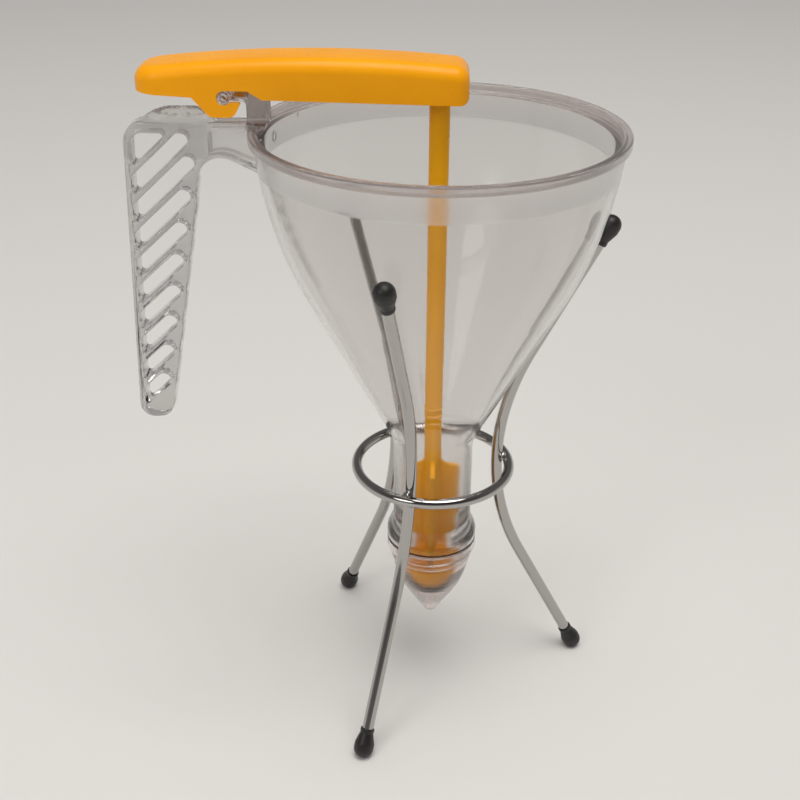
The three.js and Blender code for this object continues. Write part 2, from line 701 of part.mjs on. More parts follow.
function leverGeometry() {
  const stopUnder = stopHeight();
  const outer = roofBody(0, tailX, noseX, hookBottom - overrun).intersect(leverPlan(0));
  const floor = hookBottom - 2 * overrun;
  const hollow = roofBody(leverWall, tailX + leverWall, noseX - leverWall, floor)
    .intersect(leverPlan(leverWall));
  const flank = solid(plate(leverFlank(), leverWidth + overrun));
  const shell = outer.subtract(hollow).intersect(flank);
  const half = handleDepth / 2;
  const stop = solid(block(stopX, stopX + leverWall, -half, half, stopUnder, crownHeight));
  const inside = stop.add(cheek(1)).add(cheek(-1)).intersect(outer);
  return shaped(shell.add(inside));
}

piece('lever', leverGeometry(), yellowPlastic());

// Nozzle, screwed on the threaded end of the neck, with a flat ring under the neck's bead.
const sealFloor = nozzleTop - sealThickness - gap;
const sealInner = nozzleBore + gap / 2;
const sealOuter = sealInner + sealWidth;
const tipCone = (shoulderRadius - tipRadius) / (shoulderHeight - tipHeight - tipRise);
const seatCone = (seatRadius - shoulderRadius) / (seatHeight - shoulderHeight);
const outletTop = tipHeight + outletLength;

// Inside of the nozzle at the seat of the plunger's ring.
const seatInside = (z) => seatRadius + seatCone * (z - seatHeight) - nozzleWall * slantOf(seatCone);

function nozzleOutline() {
  const boreFloor = spigotFoot - gap - overrun / 2;
  const shoulderInside = shoulderRadius - nozzleWall * slantOf(tipCone);
  return rounded([
    [outletRadius, tipHeight],
    [tipRadius - tipEdge, tipHeight],
    [tipRadius, tipHeight + tipRise, tipEdge],
    [shoulderRadius, shoulderHeight, tipEdge],
    [seatRadius, seatHeight],
    [waistRadius, waistHeight],
    [gripRadius, gripHeight],
    [flangeRadius, flangeHeight - skirtSide, flangeEdge],
    [flangeRadius, nozzleTop],
    [sealOuter + gap, nozzleTop],
    [sealOuter + gap, sealFloor],
    [nozzleBore, sealFloor],
    [nozzleBore, boreFloor],
    [waistRadius - nozzleWall, waistHeight],
    [seatInside(seatHeight), seatHeight],
    [shoulderInside, shoulderHeight],
    [Math.max(shoulderInside - tipCone * (shoulderHeight - outletTop), outletStep), outletTop],
    [outletRadius, outletTop],
  ]);
}

const nozzleThread = thread(
  nozzleBore, spigotRoot + gap,
  spigotFoot + threadInset - threadPitch / 2, spigotTurns, 0,
);
piece('nozzle', shaped(solid(turned(nozzleOutline())).add(solid(nozzleThread))), clearPlastic());

const sealRing = [
  [sealInner, sealFloor + gap], [sealOuter, sealFloor + gap],
  [sealOuter, nozzleTop], [sealInner, nozzleTop],
];
piece('nozzle_seal', turned(rounded(sealRing)), redRubber());

// Plunger: rod with cross bar, four vanes and the stopper, and the ring in the stopper's groove.
const ringSealRadius = seatInside(seatHeight) - (ringSealSection + gap) * slantOf(seatCone);

function stopperOutline() {
  const grooveInner = ringSealRadius - ringSealSection - gap;
  const grooveTop = seatHeight + ringSealSection + gap;
  const grooveFoot = seatHeight - ringSealSection - gap;
  return rounded([
    [0, stopperFoot],
    [stopperFootRadius, stopperFoot],
    [footEdgeRadius, grooveFoot],
    [grooveInner, grooveFoot],
    [grooveInner, grooveTop],
    [stopperRadius, grooveTop],
    [stopperRadius, stopperTop, stopperEdge],
    [0, stopperTop],
  ]);
}

function vanes() {
  const root = rodLow - gap;
  const outline = rounded([
    [-stopperRadius + stopperEdge, stopperTop - overrun],
    [stopperRadius - stopperEdge, stopperTop - overrun],
    [stopperRadius - stopperEdge, stopperTop],
    [vaneReach, vaneFoot],
    [vaneReach, vaneTop, stopperEdge],
    [root, vaneTop, vaneFillet],
    [root, vaneTop + 2 * vaneFillet],
    [-root, vaneTop + 2 * vaneFillet],
    [-root, vaneTop, vaneFillet],
    [-vaneReach, vaneTop, stopperEdge],
    [-vaneReach, vaneFoot],
    [-stopperRadius + stopperEdge, stopperTop],
  ]);
  const across = plate(outline, vaneThickness);
  return join(across, across.clone().rotateZ(quarterTurn));
}

function plungerGeometry() {
  const rod = turned(rounded([
    [0, stopperTop - overrun],
    [rodLow, stopperTop - overrun],
    [rodLow, vaneTop],
    [rodTop, barHeight - vaneFillet],
    [rodTop, barHeight + barRadius, stopperEdge],
    [0, barHeight + barRadius],
  ]), smallSides);
  const bar = crossBar(barRadius, barLength, 0, barHeight);
  return shaped(join(turned(stopperOutline(), smallSides * 2), rod, bar).add(vanes()));
}

piece('plunger', plungerGeometry(), yellowPlastic());

const ringSeal = new THREE.TorusGeometry(ringSealRadius, ringSealSection, sealSides, smallSides * 2);
piece('stopper_seal', ringSeal.translate(0, 0, seatHeight), blackRubber());

// Stand: each leg is drawn in the XZ plane, then leaned and turned to its place.
const seatOffset = (wireRadius + gap) * slantOf(coneTaper);
const legUpper = (z) => coneRadiusAt(z) + seatOffset;
const legLower = (z) => legFootRadius - legSplay * (z - legFootHeight);
const legKnee = (legFootRadius + legSplay * legFootHeight - legUpper(0)) / (coneTaper + legSplay);

// The bend that keeps the leg's least distance from the axis, and the height of that place.
function legBend() {
  const back = new THREE.Vector2(legSplay, -1).normalize();
  const ahead = new THREE.Vector2(coneTaper, 1).normalize();
  const half = Math.acos(back.dot(ahead)) / 2;
  const inward = back.add(ahead).normalize();
  const radius = (legWaist - legLower(legKnee)) / (inward.x / Math.sin(half) - 1);
  return { radius, height: legKnee + (radius * inward.y) / Math.sin(half) };
}

const footDirection = new THREE.Vector2(-legSplay, 1).normalize();
const topDirection = new THREE.Vector2(-coneTaper, -1).normalize();
const footCentre = new THREE.Vector2(legFootRadius, legFootHeight);
const topCentre = new THREE.Vector2(legUpper(legTopHeight), legTopHeight);
const wireStart = capLength - capBite;
const bend = legBend();
const ringHeight = bend.height - ringDrop;

function legWire() {
  const foot = footCentre.clone().addScaledVector(footDirection, wireStart);
  const top = topCentre.clone().addScaledVector(topDirection, wireStart);
  const corners = [foot.toArray(), [legLower(legKnee), legKnee, bend.radius], top.toArray()];
  const points = rounded(corners, false, legArcStep).map((point) => new THREE.Vector3(point.x, 0, point.y));
  const path = new THREE.CurvePath();
  points.slice(1).forEach((point, index) => path.add(new THREE.LineCurve3(points[index], point)));
  const section = Array.from({ length: wireSides }, (unused, side) => {
    const angle = (2 * Math.PI * side) / wireSides;
    return new THREE.Vector2(wireRadius * Math.cos(angle), wireRadius * Math.sin(angle));
  });
  return new THREE.ExtrudeGeometry(new THREE.Shape(section), { steps: legSteps, extrudePath: path });
}

// A rubber cap with its bulb's centre at a point of the XZ plane and its mouth along a direction.
function cap(centre, direction) {
  const bore = wireRadius + gap;
  const floor = wireStart - gap;
  const outline = rounded([
    [0, -capRadius],
    [capRadius, -capRadius, capRadius],
    [capRadius, 0],
    [capMouth, capLength],
    [bore, capLength],
    [bore, floor],
    [0, floor],
  ]);
  return turned(outline, smallSides).rotateY(Math.atan2(direction.x, direction.y))
    .translate(centre.x, 0, centre.y);
}

const toPlace = (geometry, leg) => geometry
  .translate(0, 0, -ringHeight).rotateX(-radians(legLeans[leg])).translate(0, 0, ringHeight)
  .rotateZ(radians(legAzimuths[leg]));

const ringRadius = legWaist + wireRadius + gap + ringWireRadius;
const ring = new THREE.TorusGeometry(ringRadius, ringWireRadius, wireSides, ringSides)
  .translate(0, 0, ringHeight);
piece('stand_ring', ring, chrome());

const underTable = solid(block(-lipRadius * 2, lipRadius * 2, -lipRadius * 2, lipRadius * 2, -lipRadius, 0));
const ringRoom = solid(new THREE.TorusGeometry(ringRadius, ringWireRadius + gap, wireSides, ringSides)
  .translate(0, 0, ringHeight));

legAzimuths.forEach((azimuth, leg) => {
  const number = leg + 1;
  piece(`leg_${number}`, toPlace(legWire(), leg), chrome());
  const foot = solid(toPlace(cap(footCentre, footDirection), leg)).subtract(underTable);
  piece(`foot_cap_${number}`, shaped(foot), blackRubber());
  piece(`top_cap_${number}`, toPlace(cap(topCentre, topDirection), leg), blackRubber());
  const legRoom = new THREE.CylinderGeometry(wireRadius + gap, wireRadius + gap, ringHeight / 4, wireSides)
    .rotateX(quarterTurn).translate(legWaist, 0, ringHeight);
  const bead = new THREE.SphereGeometry(weldRadius, wireSides, wireSides / 2)
    .translate(legWaist + wireRadius + gap, 0, ringHeight + ringWireRadius);
  const weld = solid(toPlace(bead, leg)).subtract(solid(toPlace(legRoom, leg))).subtract(ringRoom);
  piece(`weld_${number}`, shaped(weld), chrome());
});

model.updateMatrixWorld(true);
const extent = new THREE.Box3().setFromObject(model);
const middle = extent.getCenter(new THREE.Vector3());
model.position.set(-middle.x, -middle.y, -extent.min.z);

export default model;
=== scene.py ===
"""Piston funnel: a clear bowl with a side handle and a screwed-on nozzle, a yellow lever that
lifts a yellow plunger, and a chromed wire stand on rubber caps.

Sizes are in millimetres round the bowl's axis (x = y = 0) with the floor at z = 0. The function
solid() turns them into metres and moves them to the frame's own origin.
"""
import math

import bmesh
import bpy
import numpy as np
from mathutils import Matrix, Vector

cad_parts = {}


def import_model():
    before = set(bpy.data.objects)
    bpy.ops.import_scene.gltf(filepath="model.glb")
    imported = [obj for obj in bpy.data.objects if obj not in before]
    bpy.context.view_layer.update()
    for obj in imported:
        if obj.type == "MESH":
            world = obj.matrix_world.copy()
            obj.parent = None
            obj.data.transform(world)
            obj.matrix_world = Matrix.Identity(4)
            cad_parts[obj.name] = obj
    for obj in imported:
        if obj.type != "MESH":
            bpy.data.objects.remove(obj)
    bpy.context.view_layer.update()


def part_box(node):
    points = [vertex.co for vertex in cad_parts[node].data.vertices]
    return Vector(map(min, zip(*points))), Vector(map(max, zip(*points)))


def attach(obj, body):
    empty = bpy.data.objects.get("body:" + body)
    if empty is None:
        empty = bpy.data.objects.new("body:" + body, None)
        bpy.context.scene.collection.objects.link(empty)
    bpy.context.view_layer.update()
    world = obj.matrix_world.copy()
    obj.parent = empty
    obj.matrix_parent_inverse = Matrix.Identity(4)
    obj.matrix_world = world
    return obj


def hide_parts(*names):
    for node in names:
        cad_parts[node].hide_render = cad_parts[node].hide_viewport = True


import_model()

# The frame: the bowl's axis is the middle of the nozzle
MM = 0.001
nozzle_low, nozzle_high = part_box("nozzle")
AXIS = np.array([(nozzle_low.x + nozzle_high.x) / 2, (nozzle_low.y + nozzle_high.y) / 2, 0.0])

# Working values. In the names here, a drop or depth goes down, a rise goes up, a reach or inset
# goes sideways, and proud is how far a thing stands out from what carries it
GAP = 0.3                # between pieces that touch
OVERRUN = 2.0            # how far a cutting shape reaches past what it cuts
SAME_SPOT = 0.002        # points closer than this are one point
ARC_TURN = 0.16          # largest turn between two points of a rounded corner, in radians
ARC_LENGTH = 2.5         # largest distance between two points of a long bend
SIDE_LENGTH = 3.0        # largest distance between two points along the lever
ROUND_SIDES = 256        # sides of the bowl and the nozzle
BAR_SIDES = 48           # sides of rod, axle and caps
WIRE_SIDES = 24          # sides of the stand's wires
EDGE_STEPS = 3           # steps of a rounded edge
SHARP_ANGLE = 32         # edges sharper than this stay sharp, in degrees

# Bowl
CONE_FOOT = 151.2
BOWL_DEPTH = 166.8
RIM = CONE_FOOT + BOWL_DEPTH
LIP_RADIUS = 90.0
LIP_DEPTH = 4.7
LIP_WIDTH = 4.4
LIP_EDGE = 1.2
LIP_PROUD = 2.5
BAND_THICKNESS = 5.3
BAND_TAPER = 0.098
BAND_LOW = 300.5         # lower end of the thicker band, which is frosted outside
BAND_STEP = 2.5          # height over which the band's inner wall steps in
KNEE_DEPTH = 42.87
BEND_REACH = 39.83
NECK_BEND = 20.0
WALL = 3.2
NECK_RADIUS = 21.0
NECK_LENGTH = 48.2
LIP_UNDER = RIM - LIP_DEPTH
BAND_RADIUS = LIP_RADIUS - LIP_PROUD
LEDGE_RADIUS = BAND_RADIUS - BAND_THICKNESS
KNEE = LIP_UNDER - KNEE_DEPTH
CONE_TAPER = (BAND_RADIUS - BAND_TAPER * KNEE_DEPTH - NECK_RADIUS) / (KNEE - CONE_FOOT)
BOWL_BEND = BEND_REACH / math.tan((math.atan(CONE_TAPER) - math.atan(BAND_TAPER)) / 2)
SMALL_EDGE = 0.5         # moulded edges
# Marks that the mould left inside: azimuth, height, half their width and height, and section
WALL_MARKS = [(168.0, 307.5, 2.3, 2.3, 0.5), (150.0, 312.0, 0.5, 1.1, 0.35)]
MARK_SIDES = 8

# Screw joint
FLANGE_PROUD = 3.3
FLANGE_SIDE = 4.7
FLANGE_SLOPE = 8.0
FLANGE_EDGE = 3.0
SPIGOT_LENGTH = 14.8
SPIGOT_STEP = 1.2
SPIGOT_WALL = 1.8
THREAD_DEPTH = 0.9
THREAD_PITCH = 4.0
THREAD_FOOT = 2.4
THREAD_CREST = 1.0
THREAD_TURNS = 2
THREAD_STEPS = 72
THREAD_FADE = 0.16       # share of a turn over which a thread runs in and out
THREAD_LEAST = 0.06      # share of its height that a thread has at its two ends
THREAD_INSET = 2.4
FLANGE_RADIUS = NECK_RADIUS + FLANGE_PROUD
FLANGE_TOP = CONE_FOOT - NECK_LENGTH
FLANGE = FLANGE_TOP - FLANGE_SLOPE - FLANGE_SIDE
SPIGOT_FOOT = FLANGE - SPIGOT_LENGTH
SPIGOT_BORE = NECK_RADIUS - WALL - SPIGOT_STEP
SPIGOT_ROOT = SPIGOT_BORE + SPIGOT_WALL

# Nozzle
SEAL_THICKNESS = 1.6
SEAL_WIDTH = 3.5
SEAL_SHOWN = 1.0         # height of the seal that stands over the nozzle's edge: a dark band, partly the seal and partly painted shade of the gap under the flange
SKIRT_SIDE = 6.0
GRIP_WALL = 2.4
GRIP_DROP = 12.3
WAIST_PROUD = 2.7
WAIST_DROP = 11.0
SEAT_ROOM = 4.3
SEAT_DROP = 7.0
SHOULDER_INSET = 2.5
SHOULDER_DROP = 4.5
NOZZLE_CONE = 17.7
TIP_RADIUS = 3.4
TIP_EDGE = 1.3
TIP_RISE = 1.0
NOZZLE_WALL = 2.2
OUTLET_RADIUS = 1.8
OUTLET_LENGTH = 7.0
MOULD_LINE = 0.14        # height of the line where the mould's halves meet
MOULD_LINE_WIDTH = 0.45
MOULD_LINE_REACH = 0.06  # angle on each side of that line which has extra points, in radians
MOULD_LINE_POINTS = 13
STOPPER_RADIUS = 12.2
NOZZLE_TOP = FLANGE - GAP
NOZZLE_BORE = SPIGOT_ROOT + THREAD_DEPTH + GAP
GRIP_RADIUS = NOZZLE_BORE + GRIP_WALL
GRIP = FLANGE - GRIP_DROP
WAIST = GRIP - WAIST_DROP
SEAT = WAIST - SEAT_DROP
SHOULDER = SEAT - SHOULDER_DROP
TIP = SHOULDER - NOZZLE_CONE
SEAT_RADIUS = STOPPER_RADIUS + SEAT_ROOM
WAIST_RADIUS = SEAT_RADIUS + WAIST_PROUD
SHOULDER_RADIUS = SEAT_RADIUS - SHOULDER_INSET
SEAL_FLOOR = NOZZLE_TOP - SEAL_THICKNESS - GAP
SEAL_INNER = NOZZLE_BORE + GAP / 2
SEAL_OUTER = SEAL_INNER + SEAL_WIDTH
TIP_CONE = (SHOULDER_RADIUS - TIP_RADIUS) / (SHOULDER - TIP - TIP_RISE)
SEAT_CONE = (SEAT_RADIUS - SHOULDER_RADIUS) / (SEAT - SHOULDER)
SEAT_SLANT = math.hypot(1, SEAT_CONE)
SEAT_INSIDE = SEAT_RADIUS - NOZZLE_WALL * SEAT_SLANT

# Handle
PAD_THICKNESS = 1.7
HANDLE_REACH = 58.4
HANDLE_DEPTH = 12.0
HANDLE_WIDTH = 39.9
HANDLE_FOOT_WIDTH = 16.6
HANDLE_FOOT_SHIFT = 5.7
HANDLE_LENGTH = 163.4
HANDLE_ROUND_TOP = 9.5
HANDLE_ROUND_FOOT = 7.5
HANDLE_EDGE = 0.7        # rounding of the handle's long edges
RAIL_WIDTH = 2.8
RIB_WIDTH = 2.6
RIB_LEAN = math.radians(43)
RIB_PITCH = 13.75
RIB_WINDOWS = 9
RIB_DEPTH = 23.4
RIB_MIDDLE_INSET = 8.4
WINDOW_ROUND = 1.6
WINDOW_TOP_ROUND = 3.5
WINDOW_DROP = 5.2
ARM_FLANGE = 3.6
ARM_WEB = 2.4
ARM_WEB_INSET = 0.2
HUMP_RISE = 6.7
HUMP_INSET = 3.5
HUMP_FALL = 7.0
HUMP_ROUND_OUTER = 24.0
HUMP_ROUND_INNER = 8.5
HUMP_STEPS = 9           # steps of the hump's roundness on each side
ARCH_DEPTH = 44.7
ARCH_CORNER_INSET = 4.5
ARCH_CORNER_DEPTH = 10.7
ARCH_END_DEPTH = 25.7
ARCH_ROUND = 12.0
ARCH_WIDTH = 3.0
PAD_DEPTH = 17.4
PAD_LENGTH = 9.0
POST_LENGTH = 10.5
POST_DEPTH = 11.0
POST_EDGE = 1.8
PIVOT_REACH = 8.3
PIVOT_RISE = 14.4
AXLE_RADIUS = 2.9
AXLE_BORE = 1.6
AXLE_BORE_DEPTH = 3.0
AXLE_END = 1.5
HEAD_RADIUS = 4.4
SINK = 1.8               # how far the arm reaches into the bowl's wall
ARM_TOP = RIM + PAD_THICKNESS
HANDLE_TOP = ARM_TOP + HUMP_RISE
HANDLE_FOOT = HANDLE_TOP - HANDLE_LENGTH
OUTER_TOP_X = -LIP_RADIUS - HANDLE_REACH
OUTER_FOOT_X = OUTER_TOP_X - HANDLE_FOOT_SHIFT
GRIP_TOP_X = OUTER_TOP_X + HANDLE_WIDTH
GRIP_FOOT_X = OUTER_FOOT_X + HANDLE_FOOT_WIDTH
RIB_FIRST = HANDLE_TOP - RIB_DEPTH
RIB_MIDDLE = OUTER_TOP_X + RIB_MIDDLE_INSET
RIB_SLOPE = math.tan(RIB_LEAN)
RIB_DROP = RIB_WIDTH / math.cos(RIB_LEAN)
HUMP_END = GRIP_TOP_X - HUMP_INSET
ARCH_FOOT = ARM_TOP - ARCH_DEPTH
ARCH_CORNER_X = GRIP_TOP_X - ARCH_CORNER_INSET
ARCH_CORNER = ARM_TOP - ARCH_CORNER_DEPTH
ARCH_END = ARM_TOP - ARCH_END_DEPTH
ARM_END = -LEDGE_RADIUS - SINK
PIVOT_X = -LIP_RADIUS - PIVOT_REACH
PIVOT = ARM_TOP + PIVOT_RISE

# Lever
LEVER_WIDTH = 32.0
LEVER_WALL = 2.6
LEVER_EDGE = 6.0
LEVER_INNER_EDGE = 2.0
CROWN_RISE = 17.69
CROWN_AHEAD = 43.9
CROWN_BEND = 667.0
CROWN_ACROSS = 0.5       # how much lower the roof is at its sides
LEVER_EDGE_STEPS = 9
ROOF_RINGS = 8
TAIL_REACH = 42.3
NOSE_X = 13.3
NOSE_CORNER = 6.5
NOSE_ROUND = 3.5
TAIL_CORNER = 12.0
TAIL_RISE = 1.7
WAIST_RISE = 0.1
BEAM_FALL = 0.7
NOSE_FALL = 2.3
HOOK_BACK = 14.7
HOOK_DROP = 8.9
HOOK_LEFT = 6.7
HOOK_RIGHT = 4.3
HOOK_TIP = 7.7
HOOK_TIP_DROP = 2.2
HOOK_LIP = 2.4
SLOT_REACH = 10.9
SLOT_FALL = 6.5
SLOT_ROUND = 1.2
PIVOT_PLAY = 0.35
LEVER_OPENING = math.radians(12)
STOP_INSET = 15.0
CHEEK_THICKNESS = 2.0
CHEEK_LIP = 1.6
CROWN = PIVOT + CROWN_RISE
CROWN_X = PIVOT_X + CROWN_AHEAD
TAIL_X = PIVOT_X - TAIL_REACH
HOOK_FOOT = PIVOT - HOOK_DROP
STOP_X = TAIL_X + STOP_INSET

# Plunger
BAR_RISE = 4.9
ROD_TOP = 4.9
ROD_LOW = 4.5
ROD_RINGS = [166.3, 170.0]    # two fine rings round the rod, over the neck
# Corners of such a ring: along the rod, and out from it
ROD_RING_CORNERS = [(-0.5, 0.0), (-0.2, 0.25), (0.2, 0.25), (0.5, 0.0)]
BAR_RADIUS = 2.5
BAR_END = 1.85
BAR_PLAY = 0.45
BAR_TRAVEL = 4.2
VANE_PLAY = 1.9
VANE_THICKNESS = 2.6
VANE_EDGE = 0.5
VANE_LENGTH = 53.0
VANE_FILLET = 7.0
VANE_FLARE = 6.0
STOPPER_LENGTH = 16.0
STOPPER_EDGE = 1.5
STOPPER_NOSE = 3.4
STOPPER_FOOT_RADIUS = 9.6
FOOT_EDGE_RADIUS = 10.9
RING_SECTION = 1.1
GROOVE = RING_SECTION + GAP
RING_RADIUS = SEAT_INSIDE - GROOVE * SEAT_SLANT
BAR = PIVOT + BAR_RISE
STOPPER_TOP = SEAT + STOPPER_LENGTH
STOPPER_FOOT = SEAT - STOPPER_NOSE
VANE_REACH = SPIGOT_BORE - VANE_PLAY
VANE_FOOT = STOPPER_TOP + VANE_FLARE
VANE_TOP = VANE_FOOT + VANE_LENGTH
CHEEK_INNER = ROD_TOP + GAP + BAR_PLAY
CHEEK_FRONT = BAR_TRAVEL + BAR_RADIUS + CHEEK_LIP
BAR_LENGTH = 2 * (CHEEK_INNER + CHEEK_THICKNESS + BAR_END)

# Stand
WIRE_RADIUS = 3.0
RING_WIRE_RADIUS = 2.75
RING_DROP = 2.54
NECK_ROOM = 10.5
LEG_SPLAY = 0.52
LEG_FOOT_RADIUS = 86.2
LEG_TOP_DROP = 3.6
LEG_AZIMUTHS = [-109.0, 8.5, 127.0]
LEG_LEANS = [2.6, -1.6, 0.0]
LEG_TOP_RISES = [1.8, 1.0, -2.0]    # how much higher each leg's upper end lies
CAP_BULGE = 2.25
CAP_LENGTH = 10.75
CAP_LIP = 0.8
CAP_BITE = 7.5
FOOT_FLAT = 0.35
WELD_RADIUS = 2.6
WELD_OUT = 0.8           # its shape: shares of that radius outward and sideways
WELD_SIDEWAYS = 1.1
WELD_RISE = 0.7          # its middle over the ring's, as a share of the ring's wire radius
WELD_RIPPLES = 5         # ripples round the bead and from top to foot, and their heights
WELD_RIPPLE = 0.05
WELD_WAVES = 4
WELD_WAVE = 0.04
WELD_ROWS = 24
WELD_COLUMNS = 32
CAP_RADIUS = WIRE_RADIUS + CAP_BULGE
CAP_MOUTH = WIRE_RADIUS + GAP + CAP_LIP
LEG_FOOT = CAP_RADIUS - FOOT_FLAT
LEG_TOP = KNEE - LEG_TOP_DROP
LEG_WAIST = FLANGE_RADIUS + NECK_ROOM

# Camera, fitted to the rim, the feet and the handle in the photograph
CAMERA_BACK = 570.25
CAMERA_HEIGHT = 477.01
CAMERA_YAW = math.radians(-1.790)
CAMERA_PITCH = math.radians(28.093)
CAMERA_ROLL = math.radians(0.326)
SENSOR = 36.0
LENS = 55.467

# Finishes. Tints and colours are red, green, blue and 1
CLEAR_TINT = (0.87, 0.855, 0.845, 1)
NOZZLE_TINT = (0.95, 0.885, 0.87, 1)
# painted shade: a greyer tint that darkens the handle and its ribs
HANDLE_SHADE_TINT = (0.66, 0.65, 0.64, 1)
# painted shade: a darker, brownish tint on the lip's edges, where the clear rim looks dark edge-on
LIP_SHADE_TINT = (0.5, 0.445, 0.43, 1)
MIRROR_TINT = (0.4, 0.4, 0.4, 1)        # what a clear wall mirrors
LIGHT_PASSED = (0.8, 0.79, 0.78, 1)     # what it lets through of a lamp's light
PLASTIC_IOR = 1.49
CLEAR_ROUGHNESS = 0.03
NECK_ROUGHNESS = 0.18
LIP_ROUGHNESS = 0.2
LIP_CLEARNESS = 0.78
LIP_CLEAR = 0.8          # the clear edge over the frosted band
LIP_SOFT = 0.2           # soft border of the lip's painted shade
FROST_ROUGHNESS = 0.21
FROST_CLEARNESS = 0.76
FROST_SKIN = 0.9         # how far inside the band's outer wall the frost reaches
FROST_SOFT = 0.3         # soft border of the frost at its top and foot
FROST_SKIN_SOFT = 0.5    # soft border of the frost inside the wall
POST_UNEVEN = 0.6        # strength of the bracket's uneven surface
YELLOW_GLOSS = 0.2
YELLOW_ROUGHNESS = (0.27, 0.38)
# darker than chrome's own colour: painted dark reflections of the surroundings
CHROME_SHADE_COLOR = (0.46, 0.445, 0.43, 1)
RUBBER_CHANGE = 0.07     # how far a rubber's roughness changes up and down
NOISE_REACH = (0.3, 0.7)    # values of noise, apart from rare ones

# Floor and light
FLOOR_SIZE = 4.0
FLOOR_COLOR = (0.72, 0.71, 0.69, 1)
FLOOR_ROUGHNESS = 0.8
BACKGROUND = (1.0, 0.98, 0.96, 1)
AMBIENT = 0.41           # what surfaces get from all sides
# How bright each kind of ray sees the surroundings: near the horizon, overhead, and the share of
# that in their front half
SEEN_LEVELS = {
    "Camera": (0.68, 0.6, 1.0),
    "Glossy": (0.62, 0.15, 0.35),
    "Transmission": (0.76, 0.45, 0.6),
}
# Limits in a direction (x, y, z) of length 1: z for overhead, y for front and back
OVERHEAD_FROM = 0.4
FRONT_TO = -0.7
BACK_FROM = 0.2


# Outlines

def unit(vector):
    """The vector divided by its length."""
    return vector / np.linalg.norm(vector)


def rounded(corners, closed=True):
    """Outline through corners (x, y, bend). A bend is an arc that touches both sides: its centre
    lies on the corner's bisector, bend / sin(half the corner's angle) away."""
    pieces = []
    count = len(corners)
    for index, corner in enumerate(corners):
        here = np.array(corner[:2], float)
        bend = corner[2] if len(corner) > 2 else 0
        if bend <= 0 or (not closed and index in (0, count - 1)):
            pieces.append(here[None])
            continue
        back = unit(np.array(corners[index - 1][:2]) - here)
        ahead = unit(np.array(corners[(index + 1) % count][:2]) - here)
        half = math.acos(np.clip(back @ ahead, -1, 1)) / 2
        centre = here + unit(back + ahead) * bend / math.sin(half)
        start = here + back * bend / math.tan(half) - centre
        turn = -np.sign(back[0] * ahead[1] - back[1] * ahead[0]) * (math.pi - 2 * half)
        steps = max(1, math.ceil(abs(turn) / ARC_TURN), math.ceil(abs(turn) * bend / ARC_LENGTH))
        angle = turn * np.arange(steps + 1)[:, None] / steps
        across = np.array([-start[1], start[0]])
        pieces.append(centre + start * np.cos(angle) + across * np.sin(angle))
    points = np.concatenate(pieces)
    apart = np.linalg.norm(points - np.roll(points, 1, axis=0), axis=1) > SAME_SPOT
    apart[0] |= not closed
    return points[apart]


def split(outline):
    """A closed outline with points added along its long sides."""
    ahead = np.roll(outline, -1, axis=0)
    parts = np.ceil(np.linalg.norm(ahead - outline, axis=1) / SIDE_LENGTH).astype(int)
    return np.concatenate([start + (end - start) * np.arange(count)[:, None] / count
                           for start, end, count in zip(outline, ahead, parts)])


def outward(outline):
    """Offset direction at each point of a closed outline: (a + b) / (1 + a.b), where a and b are
    the outward normals of the two sides that meet there."""
    ahead = np.roll(outline, -1, axis=0) - outline
    ahead /= np.linalg.norm(ahead, axis=1)[:, None]
    side = np.stack([ahead[:, 1], -ahead[:, 0]], axis=1)
    before = np.roll(side, 1, axis=0)
    following = np.roll(outline, -1, axis=0)
    area = np.sum(outline[:, 0] * following[:, 1] - outline[:, 1] * following[:, 0])
    return np.sign(area) * (side + before) / (1 + np.sum(side * before, axis=1))[:, None]


def slant(taper):
    """Length of a tapered line for each step of 1 in height: the root of 1 + taper squared."""
    return math.hypot(1, taper)


# Solids

def grid_faces(rows, columns, wrap_rows=False):
    """Four-sided faces between the points of a grid, row by row. The columns close to a ring."""
    row = np.arange(rows if wrap_rows else rows - 1)[:, None]
    column = np.arange(columns)[None, :]
    next_row, next_column = (row + 1) % rows, (column + 1) % columns
    corners = (row * columns + column, row * columns + next_column,
               next_row * columns + next_column, next_row * columns + column)
    return np.stack(np.broadcast_arrays(*corners), axis=-1).reshape(-1, 4).tolist()


def new_object(name, data):
    """An object in the scene with a mesh, lamp or camera as its data."""
    made = bpy.data.objects.new(name, data)
    bpy.context.scene.collection.objects.link(made)
    return made


def solid(name, points, faces):
    """A closed mesh in metres in the frame, with double points merged and faces pointing out."""
    mesh = bpy.data.meshes.new(name)
    mesh.from_pydata((np.reshape(points, (-1, 3)) * MM + AXIS).tolist(), [], faces)
    shape = bmesh.new()
    shape.from_mesh(mesh)
    bmesh.ops.remove_doubles(shape, verts=shape.verts, dist=SAME_SPOT * MM)
    bmesh.ops.recalc_face_normals(shape, faces=shape.faces)
    shape.to_mesh(mesh)
    shape.free()
    return new_object(name, mesh)


def full_turn(sides):
    """Equal steps of angle round a circle."""
    return 2 * math.pi * np.arange(sides) / sides


def turned(name, outline, angles=None, closed=True, ridge=None):
    """Surface of revolution: an outline point (r, z) at angle t goes to (r cos t, r sin t, z).
    A ridge (points by angles) is added to r."""
    angles = full_turn(ROUND_SIDES) if angles is None else angles
    radius = outline[:, :1] + (0 if ridge is None else ridge)
    height = outline[:, 1:] + 0 * angles
    points = np.stack([radius * np.cos(angles), radius * np.sin(angles), height], axis=-1)
    return solid(name, points, grid_faces(len(outline), len(angles), wrap_rows=closed))


def cross_bar(name, outline, x, z):
    """Surface of revolution about a line along Y: (r, s) at angle t goes to
    (x + r cos t, s, z + r sin t)."""
    angles = full_turn(BAR_SIDES)
    radius, along = outline[:, :1], outline[:, 1:]
    points = np.stack([x + radius * np.cos(angles), along + 0 * angles,
                       z + radius * np.sin(angles)], axis=-1)
    return solid(name, points, grid_faces(len(outline), len(angles)))


